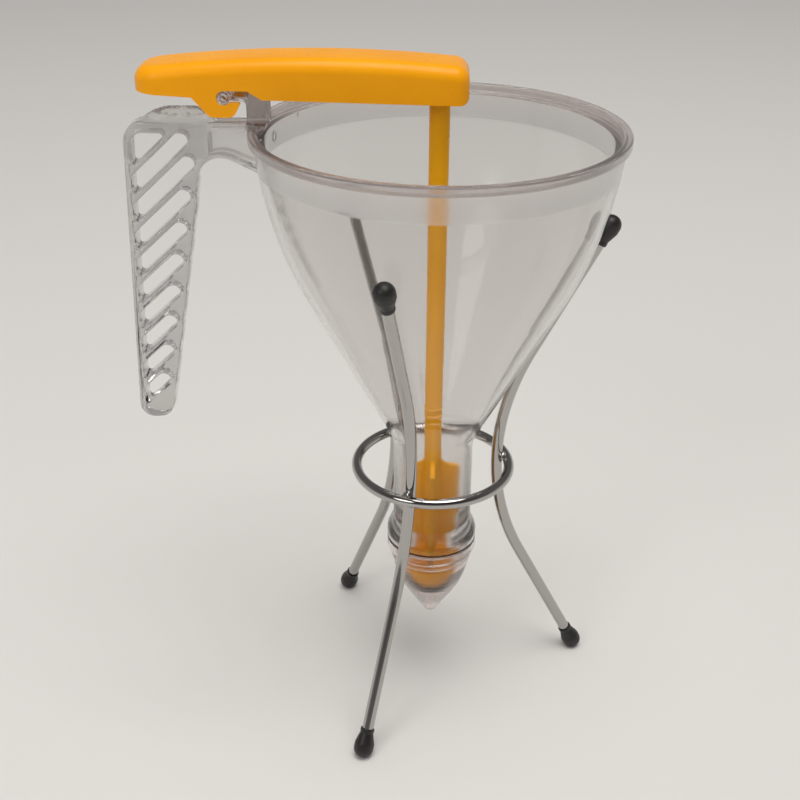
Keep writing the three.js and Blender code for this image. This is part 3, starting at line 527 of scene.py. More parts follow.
def stacked(name, outline, levels, growth, turn=0.0):
    """A body along Y through an outline (x, z): at each level y the outline is grown by its own
    amount along its offset directions, and the two ends are closed. The turn is about Z."""
    rings = outline[None] + outward(outline)[None] * np.asarray(growth)[:, None, None]
    y = np.broadcast_to(np.asarray(levels)[:, None], rings.shape[:2])
    points = np.stack([rings[..., 0] * math.cos(turn) - y * math.sin(turn),
                       rings[..., 0] * math.sin(turn) + y * math.cos(turn), rings[..., 1]], axis=-1)
    count = len(outline)
    last = (len(levels) - 1) * count
    faces = grid_faces(len(levels), count)
    faces += [list(range(count)), list(range(last, last + count))]
    return solid(name, points, faces)


def plate(name, outline, thickness, middle=0.0, edge=0.0, turn=0.0):
    """A plate about y = middle whose two faces meet its sides in a rounded edge: at angle a the
    outline is shrunk by edge (1 - cos a) and lies at half the thickness - edge (1 - sin a)."""
    angle = np.linspace(0, math.pi / 2, EDGE_STEPS + 1 if edge else 2)
    shrunk = edge * (1 - np.cos(angle))
    level = thickness / 2 - edge * (1 - np.sin(angle))
    levels = middle + np.concatenate([-level[::-1], level])
    return stacked(name, outline, levels, -np.concatenate([shrunk[::-1], shrunk]), turn)


def opening(name, outline, thickness, edge):
    """A cutter for a hole with rounded edges: at angle a the outline is grown by edge (1 - cos a)
    and lies at half the thickness - edge (1 - sin a), and it goes on past both faces."""
    angle = np.linspace(0, math.pi / 2, EDGE_STEPS + 1)
    grown = np.append(edge * (1 - np.cos(angle)), edge)
    level = np.append(thickness / 2 - edge * (1 - np.sin(angle)), thickness / 2 + OVERRUN)
    return stacked(name, outline, np.concatenate([-level[::-1], level]),
                   np.concatenate([grown[::-1], grown]))


def ring(name, radius, section, z, sides=ROUND_SIDES):
    """A torus: (radius + section cos a, z + section sin a) turned about Z."""
    angle = full_turn(WIRE_SIDES)
    outline = np.stack([radius + section * np.cos(angle), z + section * np.sin(angle)], axis=1)
    return turned(name, outline, full_turn(sides))


def thread(name, root, crest, start, turns):
    """A helical ridge: the four corners (r, z) of its section climb one pitch a turn, and its
    height grows evenly from little to full over a share of the first turn and back in the last."""
    turn = np.linspace(0, turns, THREAD_STEPS * turns + 1)
    height = np.clip(np.minimum(turn, turns - turn) / THREAD_FADE, THREAD_LEAST, 1)
    sink = math.copysign(THREAD_DEPTH / 2, root - crest)
    foot, top = THREAD_FOOT / 2, THREAD_CREST / 2
    radius = np.stack([root + sink + 0 * turn, root + (crest - root) * height,
                       root + (crest - root) * height, root + sink + 0 * turn], axis=1)
    rise = np.array([-foot, -top, top, foot])
    angle = 2 * math.pi * turn[:, None]
    points = np.stack([radius * np.cos(angle), radius * np.sin(angle),
                       start + THREAD_PITCH * turn[:, None] + rise], axis=-1)
    corners = len(rise)
    last = corners * (len(turn) - 1)
    faces = grid_faces(len(turn), corners)
    faces += [list(range(corners)), list(range(last, last + corners))]
    return solid(name, points, faces)


def combine(base, operation, others):
    """Joins, cuts or intersects a solid with others, one after the other, and removes them."""
    for other in others:
        step = base.modifiers.new(operation.lower(), "BOOLEAN")
        step.operation = operation
        step.solver = "MANIFOLD"
        step.object = other
    old = base.data
    view = bpy.context.evaluated_depsgraph_get()
    view.update()
    base.data = bpy.data.meshes.new_from_object(base.evaluated_get(view))
    base.modifiers.clear()
    bpy.data.meshes.remove(old)
    for other in others:
        bpy.data.meshes.remove(other.data)
    return base


def join(base, *others):
    """The base and the others as one solid."""
    return combine(base, "UNION", others)


def cut(base, *others):
    """The base without the others."""
    return combine(base, "DIFFERENCE", others)


def common(base, *others):
    """What the base and the others have in common."""
    return combine(base, "INTERSECT", others)


def finish_piece(piece, material, body, slot, *nodes):
    """Gives a solid its smooth shading, material and body, and hides the nodes that it stands for. The
    slot is not used.
    """
    piece.data.shade_smooth()
    piece.data.set_sharp_from_angle(angle=math.radians(SHARP_ANGLE))
    piece.data.materials.clear()
    piece.data.materials.append(material)
    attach(piece, body)
    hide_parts(*nodes)


# Clear moulding: bowl, handle and bracket are one piece

def wall_corners(offset):
    """Corners of the bowl's wall from the neck to the lip, shifted inward by an offset."""
    cone, band = offset * slant(CONE_TAPER), offset * slant(BAND_TAPER)
    foot = CONE_FOOT + (cone - offset) / CONE_TAPER
    knee = KNEE + (cone - band) / (CONE_TAPER - BAND_TAPER)
    return [
        (NECK_RADIUS - offset, foot, NECK_BEND + offset),
        (BAND_RADIUS + BAND_TAPER * (knee - LIP_UNDER) - band, knee, BOWL_BEND - offset),
        (BAND_RADIUS - band, LIP_UNDER),
    ]


def bowl():
    """A profile turned about Z. Outside it goes from the spigot over the flange, the neck, the cone
    and the band to the lip, and inside back down. Cone and band are straight lines with r = a
    corner's radius + taper times height, and an arc that touches both joins them."""
    outside = rounded([
        (SPIGOT_BORE, SPIGOT_FOOT),
        (SPIGOT_ROOT, SPIGOT_FOOT, SMALL_EDGE),
        (SPIGOT_ROOT, FLANGE, SMALL_EDGE),
        (FLANGE_RADIUS, FLANGE, SMALL_EDGE),
        (FLANGE_RADIUS, FLANGE + FLANGE_SIDE, FLANGE_EDGE),
        (NECK_RADIUS, FLANGE_TOP, FLANGE_EDGE),
        *wall_corners(0),
        (LIP_RADIUS, LIP_UNDER, LIP_EDGE),
        (LIP_RADIUS, RIM, LIP_EDGE),
        (LIP_RADIUS - LIP_WIDTH, RIM, LIP_EDGE),
        (LIP_RADIUS - LIP_WIDTH, LIP_UNDER, SMALL_EDGE),
        (LEDGE_RADIUS, LIP_UNDER),
    ], closed=False)
    inside = rounded([
        (SPIGOT_BORE, FLANGE_TOP, FLANGE_SLOPE),
        (NECK_RADIUS - WALL, FLANGE_TOP + FLANGE_SLOPE, FLANGE_SLOPE),
        *wall_corners(WALL),
    ], closed=False)
    band_foot = np.interp(BAND_LOW, inside[:, 1], inside[:, 0])
    inside = np.concatenate([inside[inside[:, 1] < BAND_LOW],
                             [(band_foot, BAND_LOW), (LEDGE_RADIUS, BAND_LOW + BAND_STEP)]])
    body = turned("clear_moulding", np.concatenate([outside, inside[::-1]]))
    return join(body, thread("neck_thread", SPIGOT_ROOT, SPIGOT_ROOT + THREAD_DEPTH,
                             SPIGOT_FOOT + THREAD_INSET, THREAD_TURNS))


def rail(top_x, foot_x, z):
    """X of the handle's straight outer or inner side at height z, between its top and its foot."""
    return top_x + (foot_x - top_x) * (HANDLE_TOP - z) / HANDLE_LENGTH


def rib_meets(top_x, foot_x, inset, height):
    """Where a line of the ribs' slope through (RIB_MIDDLE, height) meets a rail's inner side."""
    taper = (top_x - foot_x) / HANDLE_LENGTH
    level = HANDLE_TOP - height + RIB_SLOPE * RIB_MIDDLE
    x = (top_x + inset - taper * level) / (1 - taper * RIB_SLOPE)
    return x, height + RIB_SLOPE * (x - RIB_MIDDLE)


def handle_windows():
    """Outlines of the slanted windows between the ribs, and of the round one under the top."""
    roof = ARM_TOP - WINDOW_DROP
    outer, grip = (OUTER_TOP_X, OUTER_FOOT_X, RAIL_WIDTH), (GRIP_TOP_X, GRIP_FOOT_X, -RAIL_WIDTH)
    first = rib_meets(*outer, RIB_FIRST)
    outlines = [rounded([
        (*first, WINDOW_ROUND),
        (RIB_MIDDLE + (roof - RIB_FIRST) / RIB_SLOPE, roof, WINDOW_ROUND),
        (rail(*outer[:2], roof) + RAIL_WIDTH, roof, HANDLE_ROUND_TOP - RAIL_WIDTH),
    ])]
    for rib in range(RIB_WINDOWS):
        upper = RIB_FIRST - RIB_PITCH * rib - RIB_DROP
        lower = RIB_FIRST - RIB_PITCH * (rib + 1)
        left_low, left_high = rib_meets(*outer, lower), rib_meets(*outer, upper)
        right_low, right_high = rib_meets(*grip, lower), rib_meets(*grip, upper)
        corners = [(*left_low, WINDOW_ROUND), (*right_low, WINDOW_ROUND),
                   (*right_high, WINDOW_TOP_ROUND), (*left_high, WINDOW_ROUND)]
        if right_high[1] > roof:
            corners[1:3] = [(RIB_MIDDLE + (roof - lower) / RIB_SLOPE, roof, WINDOW_TOP_ROUND),
                            (RIB_MIDDLE + (roof - upper) / RIB_SLOPE, roof, WINDOW_ROUND)]
        outlines.append(rounded(corners))
    return outlines


def hump():
    """The top over the arm, round across: at angle a its outline is shrunk by s (1 - cos a) and
    lies at y = h sin a, where h is just under half the handle's depth."""
    angle = np.linspace(-math.pi / 2, math.pi / 2, 2 * HUMP_STEPS + 1)
    shrink = HUMP_RISE + GAP
    floor = HANDLE_TOP - HUMP_ROUND_OUTER - shrink - OVERRUN
    outline = rounded([
        (HUMP_END + 2 * HUMP_FALL, ARM_TOP - HUMP_RISE),
        (HUMP_END, HANDLE_TOP, HUMP_ROUND_INNER),
        (OUTER_TOP_X, HANDLE_TOP, HUMP_ROUND_OUTER),
        (OUTER_TOP_X, floor),
        (HUMP_END + 2 * HUMP_FALL, floor),
    ])
    levels = (HANDLE_DEPTH - GAP) / 2 * np.sin(angle)
    return stacked("hump", outline, levels, -shrink * (1 - np.cos(angle)))


def arch_outline(offset):
    """The open space under the arm, grown by an offset."""
    inner, floor = ARM_END + OVERRUN, ARCH_FOOT - OVERRUN
    return rounded([
        (rail(GRIP_TOP_X, GRIP_FOOT_X, ARCH_FOOT) - offset, floor),
        (ARCH_CORNER_X - offset, ARCH_CORNER + offset, ARCH_ROUND + offset),
        (inner, ARCH_END + offset),
        (inner, floor),
    ])


def handle():
    """A plate with rounded edges between two slanting sides, an arm to the bowl and a round hump.
    Two pockets leave a thin web and a flange along the arch, and the windows leave the ribs."""
    foot = rail(GRIP_TOP_X, GRIP_FOOT_X, ARCH_FOOT)
    frame_plate = plate("handle_frame", rounded([
        (ARM_END, ARM_TOP),
        (rail(OUTER_TOP_X, OUTER_FOOT_X, ARM_TOP), ARM_TOP, HANDLE_ROUND_TOP),
        (OUTER_FOOT_X, HANDLE_FOOT, HANDLE_ROUND_FOOT),
        (GRIP_FOOT_X, HANDLE_FOOT, HANDLE_ROUND_FOOT),
        (foot, ARCH_FOOT),
        (ARM_END, ARCH_FOOT),
    ]), HANDLE_DEPTH, edge=HANDLE_EDGE)
    web_top, web_end = ARM_TOP - ARM_FLANGE, GRIP_TOP_X - ARM_WEB_INSET
    recess = rounded([
        (ARM_END + OVERRUN, ARCH_FOOT),
        (ARM_END + OVERRUN, web_top),
        (web_end, web_top, WINDOW_ROUND),
        (web_end, ARCH_FOOT),
    ])
    cutters = []
    for side in (-1, 1):
        pocket = plate("web_pocket", recess, HANDLE_DEPTH, side * (HANDLE_DEPTH + ARM_WEB) / 2)
        cutters.append(cut(pocket, plate("arch_flange", arch_outline(ARCH_WIDTH), HANDLE_DEPTH * 3)))
    cutters.append(opening("arch_opening", arch_outline(0), HANDLE_DEPTH, HANDLE_EDGE))
    cutters += [opening("rib_window", window, HANDLE_DEPTH, HANDLE_EDGE) for window in handle_windows()]
    return cut(join(frame_plate, hump()), *cutters)


def bracket():
    """Pad on the rim, and post with a round head, are plates with rounded edges. The lever's axle
    is a profile turned about Y, with a recess in both ends."""
    pad = plate("rim_pad", rounded([
        (-LIP_RADIUS - GAP, RIM - SMALL_EDGE),
        (-LIP_RADIUS + PAD_LENGTH, RIM - SMALL_EDGE),
        (-LIP_RADIUS + PAD_LENGTH, ARM_TOP, SMALL_EDGE),
        (-LIP_RADIUS - GAP, ARM_TOP, SMALL_EDGE),
    ]), PAD_DEPTH, edge=SMALL_EDGE)
    low, high = PIVOT - HEAD_RADIUS, PIVOT + HEAD_RADIUS
    post = plate("lever_post", rounded([
        (-LIP_RADIUS + POST_LENGTH, ARM_TOP - GAP),
        (-LIP_RADIUS + POST_LENGTH, high, HEAD_RADIUS),
        (PIVOT_X - HEAD_RADIUS, high, HEAD_RADIUS),
        (PIVOT_X - HEAD_RADIUS, low, HEAD_RADIUS),
        (-LIP_RADIUS, low, HEAD_RADIUS / 2),
        (-LIP_RADIUS, ARM_TOP - GAP),
    ]), POST_DEPTH, edge=POST_EDGE)
    half = LEVER_WIDTH / 2 + AXLE_END
    end = rounded([
        (0, half - AXLE_BORE_DEPTH),
        (AXLE_BORE, half - AXLE_BORE_DEPTH),
        (AXLE_BORE, half),
        (AXLE_RADIUS, half, SMALL_EDGE),
        (AXLE_RADIUS, 0),
    ], closed=False)
    axle = cross_bar("axle", np.concatenate([end, end[-2::-1] * (1, -1)]), PIVOT_X, PIVOT)
    return join(pad, post, axle)


def wall_mark(name, azimuth, height, across, tall, section):
    """A low oval ring on the bowl's inner wall, left by the mould. With a round section of radius
    s, at angle a along and b round it, a point lies sideways by (across + s cos b) cos a, up by
    (tall + s cos b) sin a and inward by s sin b."""
    angle = full_turn(BAR_SIDES)[:, None]
    around = full_turn(MARK_SIDES)[None, :]
    tangent = (across + section * np.cos(around)) * np.cos(angle)
    upward = (tall + section * np.cos(around)) * np.sin(angle)
    radius = LEDGE_RADIUS - section * np.sin(around) + 0 * angle
    azimuth = math.radians(azimuth)
    points = np.stack([radius * math.cos(azimuth) - tangent * math.sin(azimuth),
                       radius * math.sin(azimuth) + tangent * math.cos(azimuth),
                       height + upward], axis=-1)
    return solid(name, points, grid_faces(BAR_SIDES, MARK_SIDES, wrap_rows=True))


# Lever

def roof_height(x, y):
    """A long arc along the lever and a slight crown across it: the crown's height - dx squared /
    (2 bend) - c (y / half the width) squared."""
    return CROWN - (x - CROWN_X) ** 2 / (2 * CROWN_BEND) - CROWN_ACROSS * (y / (LEVER_WIDTH / 2)) ** 2


def lever_block(name, wall, edge, floor):
    """A block with the lever's plan and roof, shrunk by a wall. Its rings run up the side, over the
    rounded edge, where at angle a they are edge (1 - cos a) further in and edge (1 - sin a) under
    the roof, and across the roof to the middle line."""
    half = LEVER_WIDTH / 2
    plan = split(rounded([
        (TAIL_X, -half, TAIL_CORNER), (NOSE_X, -half, NOSE_CORNER),
        (NOSE_X, half, NOSE_CORNER), (TAIL_X, half, TAIL_CORNER),
    ]))
    away = outward(plan)
    angle = np.linspace(0, math.pi / 2, LEVER_EDGE_STEPS)
    inset = wall + edge * (1 - np.cos(angle))
    drop = wall + edge * (1 - np.sin(angle))
    rings = plan[None] - away[None] * inset[:, None, None]
    shares = np.linspace(1, 0, ROOF_RINGS + 1)[1:, None, None]
    roof = rings[-1][None] * np.concatenate([np.ones_like(shares), shares], axis=2)
    level = np.concatenate([drop, np.full(ROOF_RINGS, wall)])[:, None]
    outline = np.concatenate([rings, roof])
    height = roof_height(outline[..., 0], outline[..., 1]) - level
    outline = np.concatenate([outline[:1], outline])
    height = np.concatenate([np.full((1, len(plan)), floor), height])
    points = np.concatenate([outline, height[..., None]], axis=2)
    faces = grid_faces(len(points), len(plan)) + [list(range(len(plan)))]
    return solid(name, points, faces)


def lever_flank():
    """The lever's side view, which goes on past its roof: the slanting tail, the hook round the
    axle, the slot's end and the straight underside up to the nose."""
    roof = CROWN + OVERRUN
    bore_top, bore_low = PIVOT + AXLE_RADIUS + PIVOT_PLAY, PIVOT - AXLE_RADIUS - PIVOT_PLAY
    bore_left = PIVOT_X - AXLE_RADIUS - PIVOT_PLAY
    tip_top = PIVOT - HOOK_TIP_DROP
    bore_round = (bore_top - bore_low) / 2 - SAME_SPOT
    return rounded([
        (TAIL_X - OVERRUN, roof),
        (TAIL_X - OVERRUN, PIVOT + TAIL_RISE),
        (PIVOT_X - HOOK_BACK, PIVOT + WAIST_RISE, SLOT_ROUND),
        (PIVOT_X - HOOK_LEFT, HOOK_FOOT, HEAD_RADIUS),
        (PIVOT_X + HOOK_RIGHT, HOOK_FOOT, HEAD_RADIUS),
        (PIVOT_X + HOOK_TIP, tip_top, SLOT_ROUND / 2),
        (PIVOT_X + HOOK_LIP, tip_top, SLOT_ROUND / 2),
        (PIVOT_X + HOOK_LIP - (tip_top - bore_low), bore_low),
        (bore_left, bore_low, bore_round),
        (bore_left, bore_top, bore_round),
        (PIVOT_X + SLOT_REACH, bore_top, SLOT_ROUND),
        (PIVOT_X + SLOT_REACH + SLOT_FALL, PIVOT - BEAM_FALL, SLOT_ROUND),
        (NOSE_X + GAP / 2, PIVOT - NOSE_FALL, NOSE_ROUND),
        (NOSE_X + GAP / 2, roof),
    ])


def lever_cheek(side):
    """A plate inside the nose with a slot, open towards the nose, for the plunger's bar."""
    low, high = BAR - BAR_RADIUS - BAR_PLAY, BAR + BAR_RADIUS + BAR_PLAY
    back = -BAR_RADIUS - BAR_PLAY
    under = low - LEVER_WALL
    outline = rounded([
        (back - LEVER_WALL, CROWN),
        (back - LEVER_WALL, under, SLOT_ROUND),
        (CHEEK_FRONT, under, SLOT_ROUND),
        (CHEEK_FRONT, low, SLOT_ROUND / 2),
        (back, low, BAR_RADIUS),
        (back, high, BAR_RADIUS),
        (CHEEK_FRONT, high, SLOT_ROUND / 2),
        (CHEEK_FRONT, CROWN),
    ])
    return plate("cheek", outline, CHEEK_THICKNESS, side * (CHEEK_INNER + CHEEK_THICKNESS / 2))


def lever():
    """The block within its side view, hollowed by a smaller block, with the stop rib and the two
    cheeks inside. The rib's foot is where the handle's top comes when the lever is turned:
    (rise + distance times sine) / cosine of the opening angle."""
    floor = HOOK_FOOT - OVERRUN
    shell = common(lever_block("yellow_lever", 0, LEVER_EDGE, floor),
                   plate("flank", lever_flank(), LEVER_WIDTH + OVERRUN))
    cut(shell, lever_block("hollow", LEVER_WALL, LEVER_INNER_EDGE, floor - OVERRUN))
    fall = (PIVOT_X - STOP_X) * math.sin(LEVER_OPENING)
    stop_foot = PIVOT + (HANDLE_TOP + GAP - PIVOT + fall) / math.cos(LEVER_OPENING)
    stop_end = STOP_X + LEVER_WALL
    stop = plate("stop_rib", np.array([
        (STOP_X, stop_foot), (stop_end, stop_foot), (stop_end, CROWN), (STOP_X, CROWN),
    ]), HANDLE_DEPTH)
    inside = join(stop, lever_cheek(1), lever_cheek(-1))
    return join(shell, common(inside, lever_block("trim", GAP, LEVER_EDGE, floor)))


# Nozzle and seals

def nozzle():
    """A profile of straight cones with rounded corners, turned about Z, from the tip up over
    shoulder, seat, waist and grip, and back inside. Where the mould's halves meet, at both ends of
    a line along Y, line height times exp(-(arc / line width) squared) is added to r outside."""
    outlet_top = TIP + OUTLET_LENGTH
    shoulder_inside = SHOULDER_RADIUS - NOZZLE_WALL * slant(TIP_CONE)
    outside = rounded([
        (OUTLET_RADIUS, TIP),
        (TIP_RADIUS - TIP_EDGE, TIP),
        (TIP_RADIUS, TIP + TIP_RISE, TIP_EDGE),
        (SHOULDER_RADIUS, SHOULDER, TIP_EDGE),
        (SEAT_RADIUS, SEAT, FLANGE_EDGE),
        (WAIST_RADIUS, WAIST, FLANGE_EDGE),
        (GRIP_RADIUS, GRIP, FLANGE_EDGE),
        (FLANGE_RADIUS, FLANGE - SKIRT_SIDE, FLANGE_EDGE),
        (FLANGE_RADIUS, NOZZLE_TOP - SEAL_SHOWN, SMALL_EDGE / 2),
        (SEAL_OUTER + GAP, NOZZLE_TOP - SEAL_SHOWN),
    ], closed=False)
    inside = rounded([
        (SEAL_OUTER + GAP, SEAL_FLOOR),
        (NOZZLE_BORE, SEAL_FLOOR),
        (NOZZLE_BORE, SPIGOT_FOOT - GAP - OVERRUN / 2, SMALL_EDGE),
        (WAIST_RADIUS - NOZZLE_WALL, WAIST, FLANGE_EDGE),
        (SEAT_INSIDE, SEAT, FLANGE_EDGE),
        (shoulder_inside, SHOULDER, SMALL_EDGE),
        (shoulder_inside - TIP_CONE * (SHOULDER - outlet_top), outlet_top, SMALL_EDGE),
        (OUTLET_RADIUS, outlet_top),
    ], closed=False)
    lines = np.array([[math.pi / 2], [3 * math.pi / 2]])
    beside = np.linspace(-MOULD_LINE_REACH, MOULD_LINE_REACH, MOULD_LINE_POINTS)
    angles = np.unique(np.append(full_turn(ROUND_SIDES), lines + beside))
    outline = np.concatenate([outside, inside])
    away = (angles + math.pi / 2) % math.pi
    away = np.minimum(away, math.pi - away)
    arc = outline[:, :1] * away
    proud = MOULD_LINE * np.exp(-(arc / MOULD_LINE_WIDTH) ** 2)
    proud *= (np.arange(len(outline)) < len(outside))[:, None]
    body = turned("clear_nozzle", outline, angles, ridge=proud)
    return join(body, thread("nozzle_thread", NOZZLE_BORE, SPIGOT_ROOT + GAP,
                             SPIGOT_FOOT + THREAD_INSET - THREAD_PITCH / 2, THREAD_TURNS))


def nozzle_seal():
    """A flat ring with rounded edges: its section is turned about Z. Its dark red edge under the flange
    is partly the seal and partly painted shade of the gap there.
    """
    edge = SEAL_THICKNESS / 4
    low, high = SEAL_FLOOR + GAP, NOZZLE_TOP
    return turned("red_seal", rounded([
        (SEAL_INNER, low, edge), (SEAL_OUTER, low, edge),
        (SEAL_OUTER, high, edge), (SEAL_INNER, high, edge),
    ]))


# Plunger

def rod_at(height):
    """The rod's radius, which grows evenly from the vanes' top to just under the bar."""
    return ROD_LOW + (ROD_TOP - ROD_LOW) * (height - VANE_TOP) / (BAR - VANE_FILLET - VANE_TOP)


def plunger():
    """Stopper and rod are profiles turned about Z, and the bar is one turned about Y. The vanes are
    two crossed plates. The stopper's groove for its ring is square."""
    stopper = turned("yellow_plunger", rounded([
        (0, STOPPER_FOOT),
        (STOPPER_FOOT_RADIUS, STOPPER_FOOT, SMALL_EDGE),
        (FOOT_EDGE_RADIUS, SEAT - GROOVE),
        (RING_RADIUS - GROOVE, SEAT - GROOVE),
        (RING_RADIUS - GROOVE, SEAT + GROOVE),
        (STOPPER_RADIUS, SEAT + GROOVE, SMALL_EDGE),
        (STOPPER_RADIUS, STOPPER_TOP, STOPPER_EDGE),
        (0, STOPPER_TOP),
    ], closed=False), full_turn(2 * BAR_SIDES), closed=False)
    rod = turned("rod", rounded([
        (0, STOPPER_TOP - OVERRUN),
        (ROD_LOW, STOPPER_TOP - OVERRUN),
        (ROD_LOW, VANE_TOP),
        *[(rod_at(height + along) + out, height + along) for height in ROD_RINGS
          for along, out in ROD_RING_CORNERS],
        (ROD_TOP, BAR - VANE_FILLET),
        (ROD_TOP, BAR + BAR_RADIUS, STOPPER_EDGE),
        (0, BAR + BAR_RADIUS),
    ], closed=False), full_turn(BAR_SIDES), closed=False)
    half = BAR_LENGTH / 2
    bar = cross_bar("bar", rounded([
        (0, -half), (BAR_RADIUS, -half, SMALL_EDGE), (BAR_RADIUS, half, SMALL_EDGE), (0, half),
    ], closed=False), 0, BAR)
    root = ROD_LOW - GAP
    inner = STOPPER_RADIUS - STOPPER_EDGE
    vane = rounded([
        (-inner, STOPPER_TOP - OVERRUN),
        (inner, STOPPER_TOP - OVERRUN),
        (inner, STOPPER_TOP),
        (VANE_REACH, VANE_FOOT, STOPPER_EDGE),
        (VANE_REACH, VANE_TOP, STOPPER_EDGE),
        (root, VANE_TOP, VANE_FILLET),
        (root, VANE_TOP + 2 * VANE_FILLET),
        (-root, VANE_TOP + 2 * VANE_FILLET),
        (-root, VANE_TOP, VANE_FILLET),
        (-VANE_REACH, VANE_TOP, STOPPER_EDGE),
        (-VANE_REACH, VANE_FOOT, STOPPER_EDGE),
        (-inner, STOPPER_TOP),
    ])
    vanes = [plate("vane", vane, VANE_THICKNESS, edge=VANE_EDGE, turn=turn)
             for turn in (0, math.pi / 2)]
    return join(stopper, rod, bar, *vanes)


# Stand

def leg_path(leg_top):
    """Centre line of a leg in the XZ plane, from foot to top: two straight runs and a bend whose
    least distance from the bowl's axis is LEG_WAIST. Returns the points, that place's height and
    the middles and directions of both caps."""
    seat = (WIRE_RADIUS + GAP) * slant(CONE_TAPER)

    def beside_cone(z):
        """Distance from the axis at which the wire lies along the bowl's cone."""
        return NECK_RADIUS + CONE_TAPER * (z - CONE_FOOT) + seat

    knee = (LEG_FOOT_RADIUS + LEG_SPLAY * LEG_FOOT - beside_cone(0)) / (CONE_TAPER + LEG_SPLAY)
    corner = LEG_FOOT_RADIUS - LEG_SPLAY * (knee - LEG_FOOT)
    back, ahead = unit(np.array([LEG_SPLAY, -1])), unit(np.array([CONE_TAPER, 1]))
    half = math.acos(back @ ahead) / 2
    inward = unit(back + ahead)
    bend = (LEG_WAIST - corner) / (inward[0] / math.sin(half) - 1)
    foot, top = np.array([LEG_FOOT_RADIUS, LEG_FOOT]), np.array([beside_cone(leg_top), leg_top])
    start = CAP_LENGTH - CAP_BITE
    points = rounded([foot - start * back, (corner, knee, bend), top - start * ahead], closed=False)
    return points, knee + bend * inward[1] / math.sin(half), (foot, -back), (top, -ahead)


LEGS = [leg_path(LEG_TOP + rise) for rise in LEG_TOP_RISES]
RING = LEGS[0][1] - RING_DROP
STAND_RADIUS = LEG_WAIST + WIRE_RADIUS + GAP + RING_WIRE_RADIUS


def to_place(points, leg):
    """Leans a leg's points sideways about the ring's height and turns them to the leg's place."""
    lean, azimuth = -math.radians(LEG_LEANS[leg]), math.radians(LEG_AZIMUTHS[leg])
    x, y, z = points[..., 0], points[..., 1], points[..., 2] - RING
    y, z = y * math.cos(lean) - z * math.sin(lean), y * math.sin(lean) + z * math.cos(lean) + RING
    x, y = x * math.cos(azimuth) - y * math.sin(azimuth), x * math.sin(azimuth) + y * math.cos(azimuth)
    return np.stack([x, y, z], axis=-1)


def wire(leg):
    """A round wire along the leg's path: each ring is centre + r cos a n + r sin a Y, with n square
    to the path, and the ends close to a point."""
    path = LEGS[leg][0]
    along = np.gradient(path, axis=0)
    along /= np.linalg.norm(along, axis=1)[:, None]
    across = np.stack([along[:, 1], -along[:, 0]], axis=1)
    centre = np.concatenate([path[:1], path, path[-1:]])
    across = np.concatenate([across[:1], across, across[-1:]])
    radius = np.full(len(centre), WIRE_RADIUS)
    radius[[0, -1]] = 0
    angle = full_turn(WIRE_SIDES)
    out = radius[:, None] * np.cos(angle)
    points = np.stack([centre[:, :1] + across[:, :1] * out, radius[:, None] * np.sin(angle),
                       centre[:, 1:] + across[:, 1:] * out], axis=-1)
    return solid(f"chrome_leg_{leg + 1}", to_place(points, leg), grid_faces(len(points), WIRE_SIDES))


def cap(name, leg, end, on_floor=False):
    """A rubber cap: a round bulb that narrows to a sleeve with a thick mouth. A point (r, s) of its
    profile at angle t goes to centre + r cos t n + r sin t Y + s d, where d runs along the wire and
    n is square to it. The floor flattens a foot's bulb: no point is under z = 0."""
    centre, direction = end
    bore = WIRE_RADIUS + GAP / 2
    mouth = CAP_MOUTH - CAP_LIP / 2
    neck = mouth - CAP_LIP / 4
    outline = rounded([
        (0, -CAP_RADIUS),
        (CAP_RADIUS, -CAP_RADIUS, CAP_RADIUS - SAME_SPOT),
        (CAP_RADIUS, CAP_RADIUS / 2, CAP_RADIUS / 2),
        (neck, CAP_LENGTH - 3 * CAP_LIP, CAP_LIP),
        (mouth, CAP_LENGTH - 2 * CAP_LIP, CAP_LIP / 2),
        (mouth, CAP_LENGTH, CAP_LIP / 4),
        (bore, CAP_LENGTH),
        (bore, CAP_LENGTH - CAP_BITE),
        (0, CAP_LENGTH - CAP_BITE),
    ], closed=False)
    angle = full_turn(BAR_SIDES)
    out, along = outline[:, :1] * np.cos(angle), outline[:, 1:] + 0 * angle
    points = np.stack([centre[0] + out * direction[1] + along * direction[0],
                       outline[:, :1] * np.sin(angle),
                       centre[1] - out * direction[0] + along * direction[1]], axis=-1)
    points = to_place(points, leg)
    if on_floor:
        points[..., 2] = np.maximum(points[..., 2], 0)
    return solid(name, points, grid_faces(len(outline), BAR_SIDES))


def weld(leg):
    """A bead of weld over the place where the leg touches the ring: a ball, flattened along the
    ring's radius, whose own radius is r (1 + a sin 5t sin u + b cos 4u) at angles t and u."""
    rise = np.linspace(0, math.pi, WELD_ROWS)[:, None]
    angle = full_turn(WELD_COLUMNS)[None, :]
    ripple = WELD_RIPPLE * np.sin(WELD_RIPPLES * angle) * np.sin(rise)
    radius = WELD_RADIUS * (1 + ripple + WELD_WAVE * np.cos(WELD_WAVES * rise))
    points = np.stack([
        LEG_WAIST + WIRE_RADIUS + GAP + radius * WELD_OUT * np.sin(rise) * np.cos(angle),
        radius * WELD_SIDEWAYS * np.sin(rise) * np.sin(angle),
        RING + RING_WIRE_RADIUS * WELD_RISE + radius * np.cos(rise) + 0 * angle,
    ], axis=-1)
    return solid(f"weld_bead_{leg + 1}", to_place(points, leg), grid_faces(WELD_ROWS, WELD_COLUMNS))


# Materials

def new_material(name, color, roughness=0.5):
    """A material and its shader, with the values that are the same all over the piece."""
    material = bpy.data.materials.new(name)
    material.use_nodes = True
    shader = material.node_tree.nodes["Principled BSDF"]
    shader.inputs["Base Color"].default_value = color
    shader.inputs["Roughness"].default_value = roughness
    return material, shader


def add(material, kind, **settings):
    """A node of a kind, with its settings and the plain values of its inputs."""
    node = material.node_tree.nodes.new(kind)
    for name, value in settings.items():
        if hasattr(node, name):
            setattr(node, name, value)
        else:
            node.inputs[name.replace("_", " ").title()].default_value = value
    return node


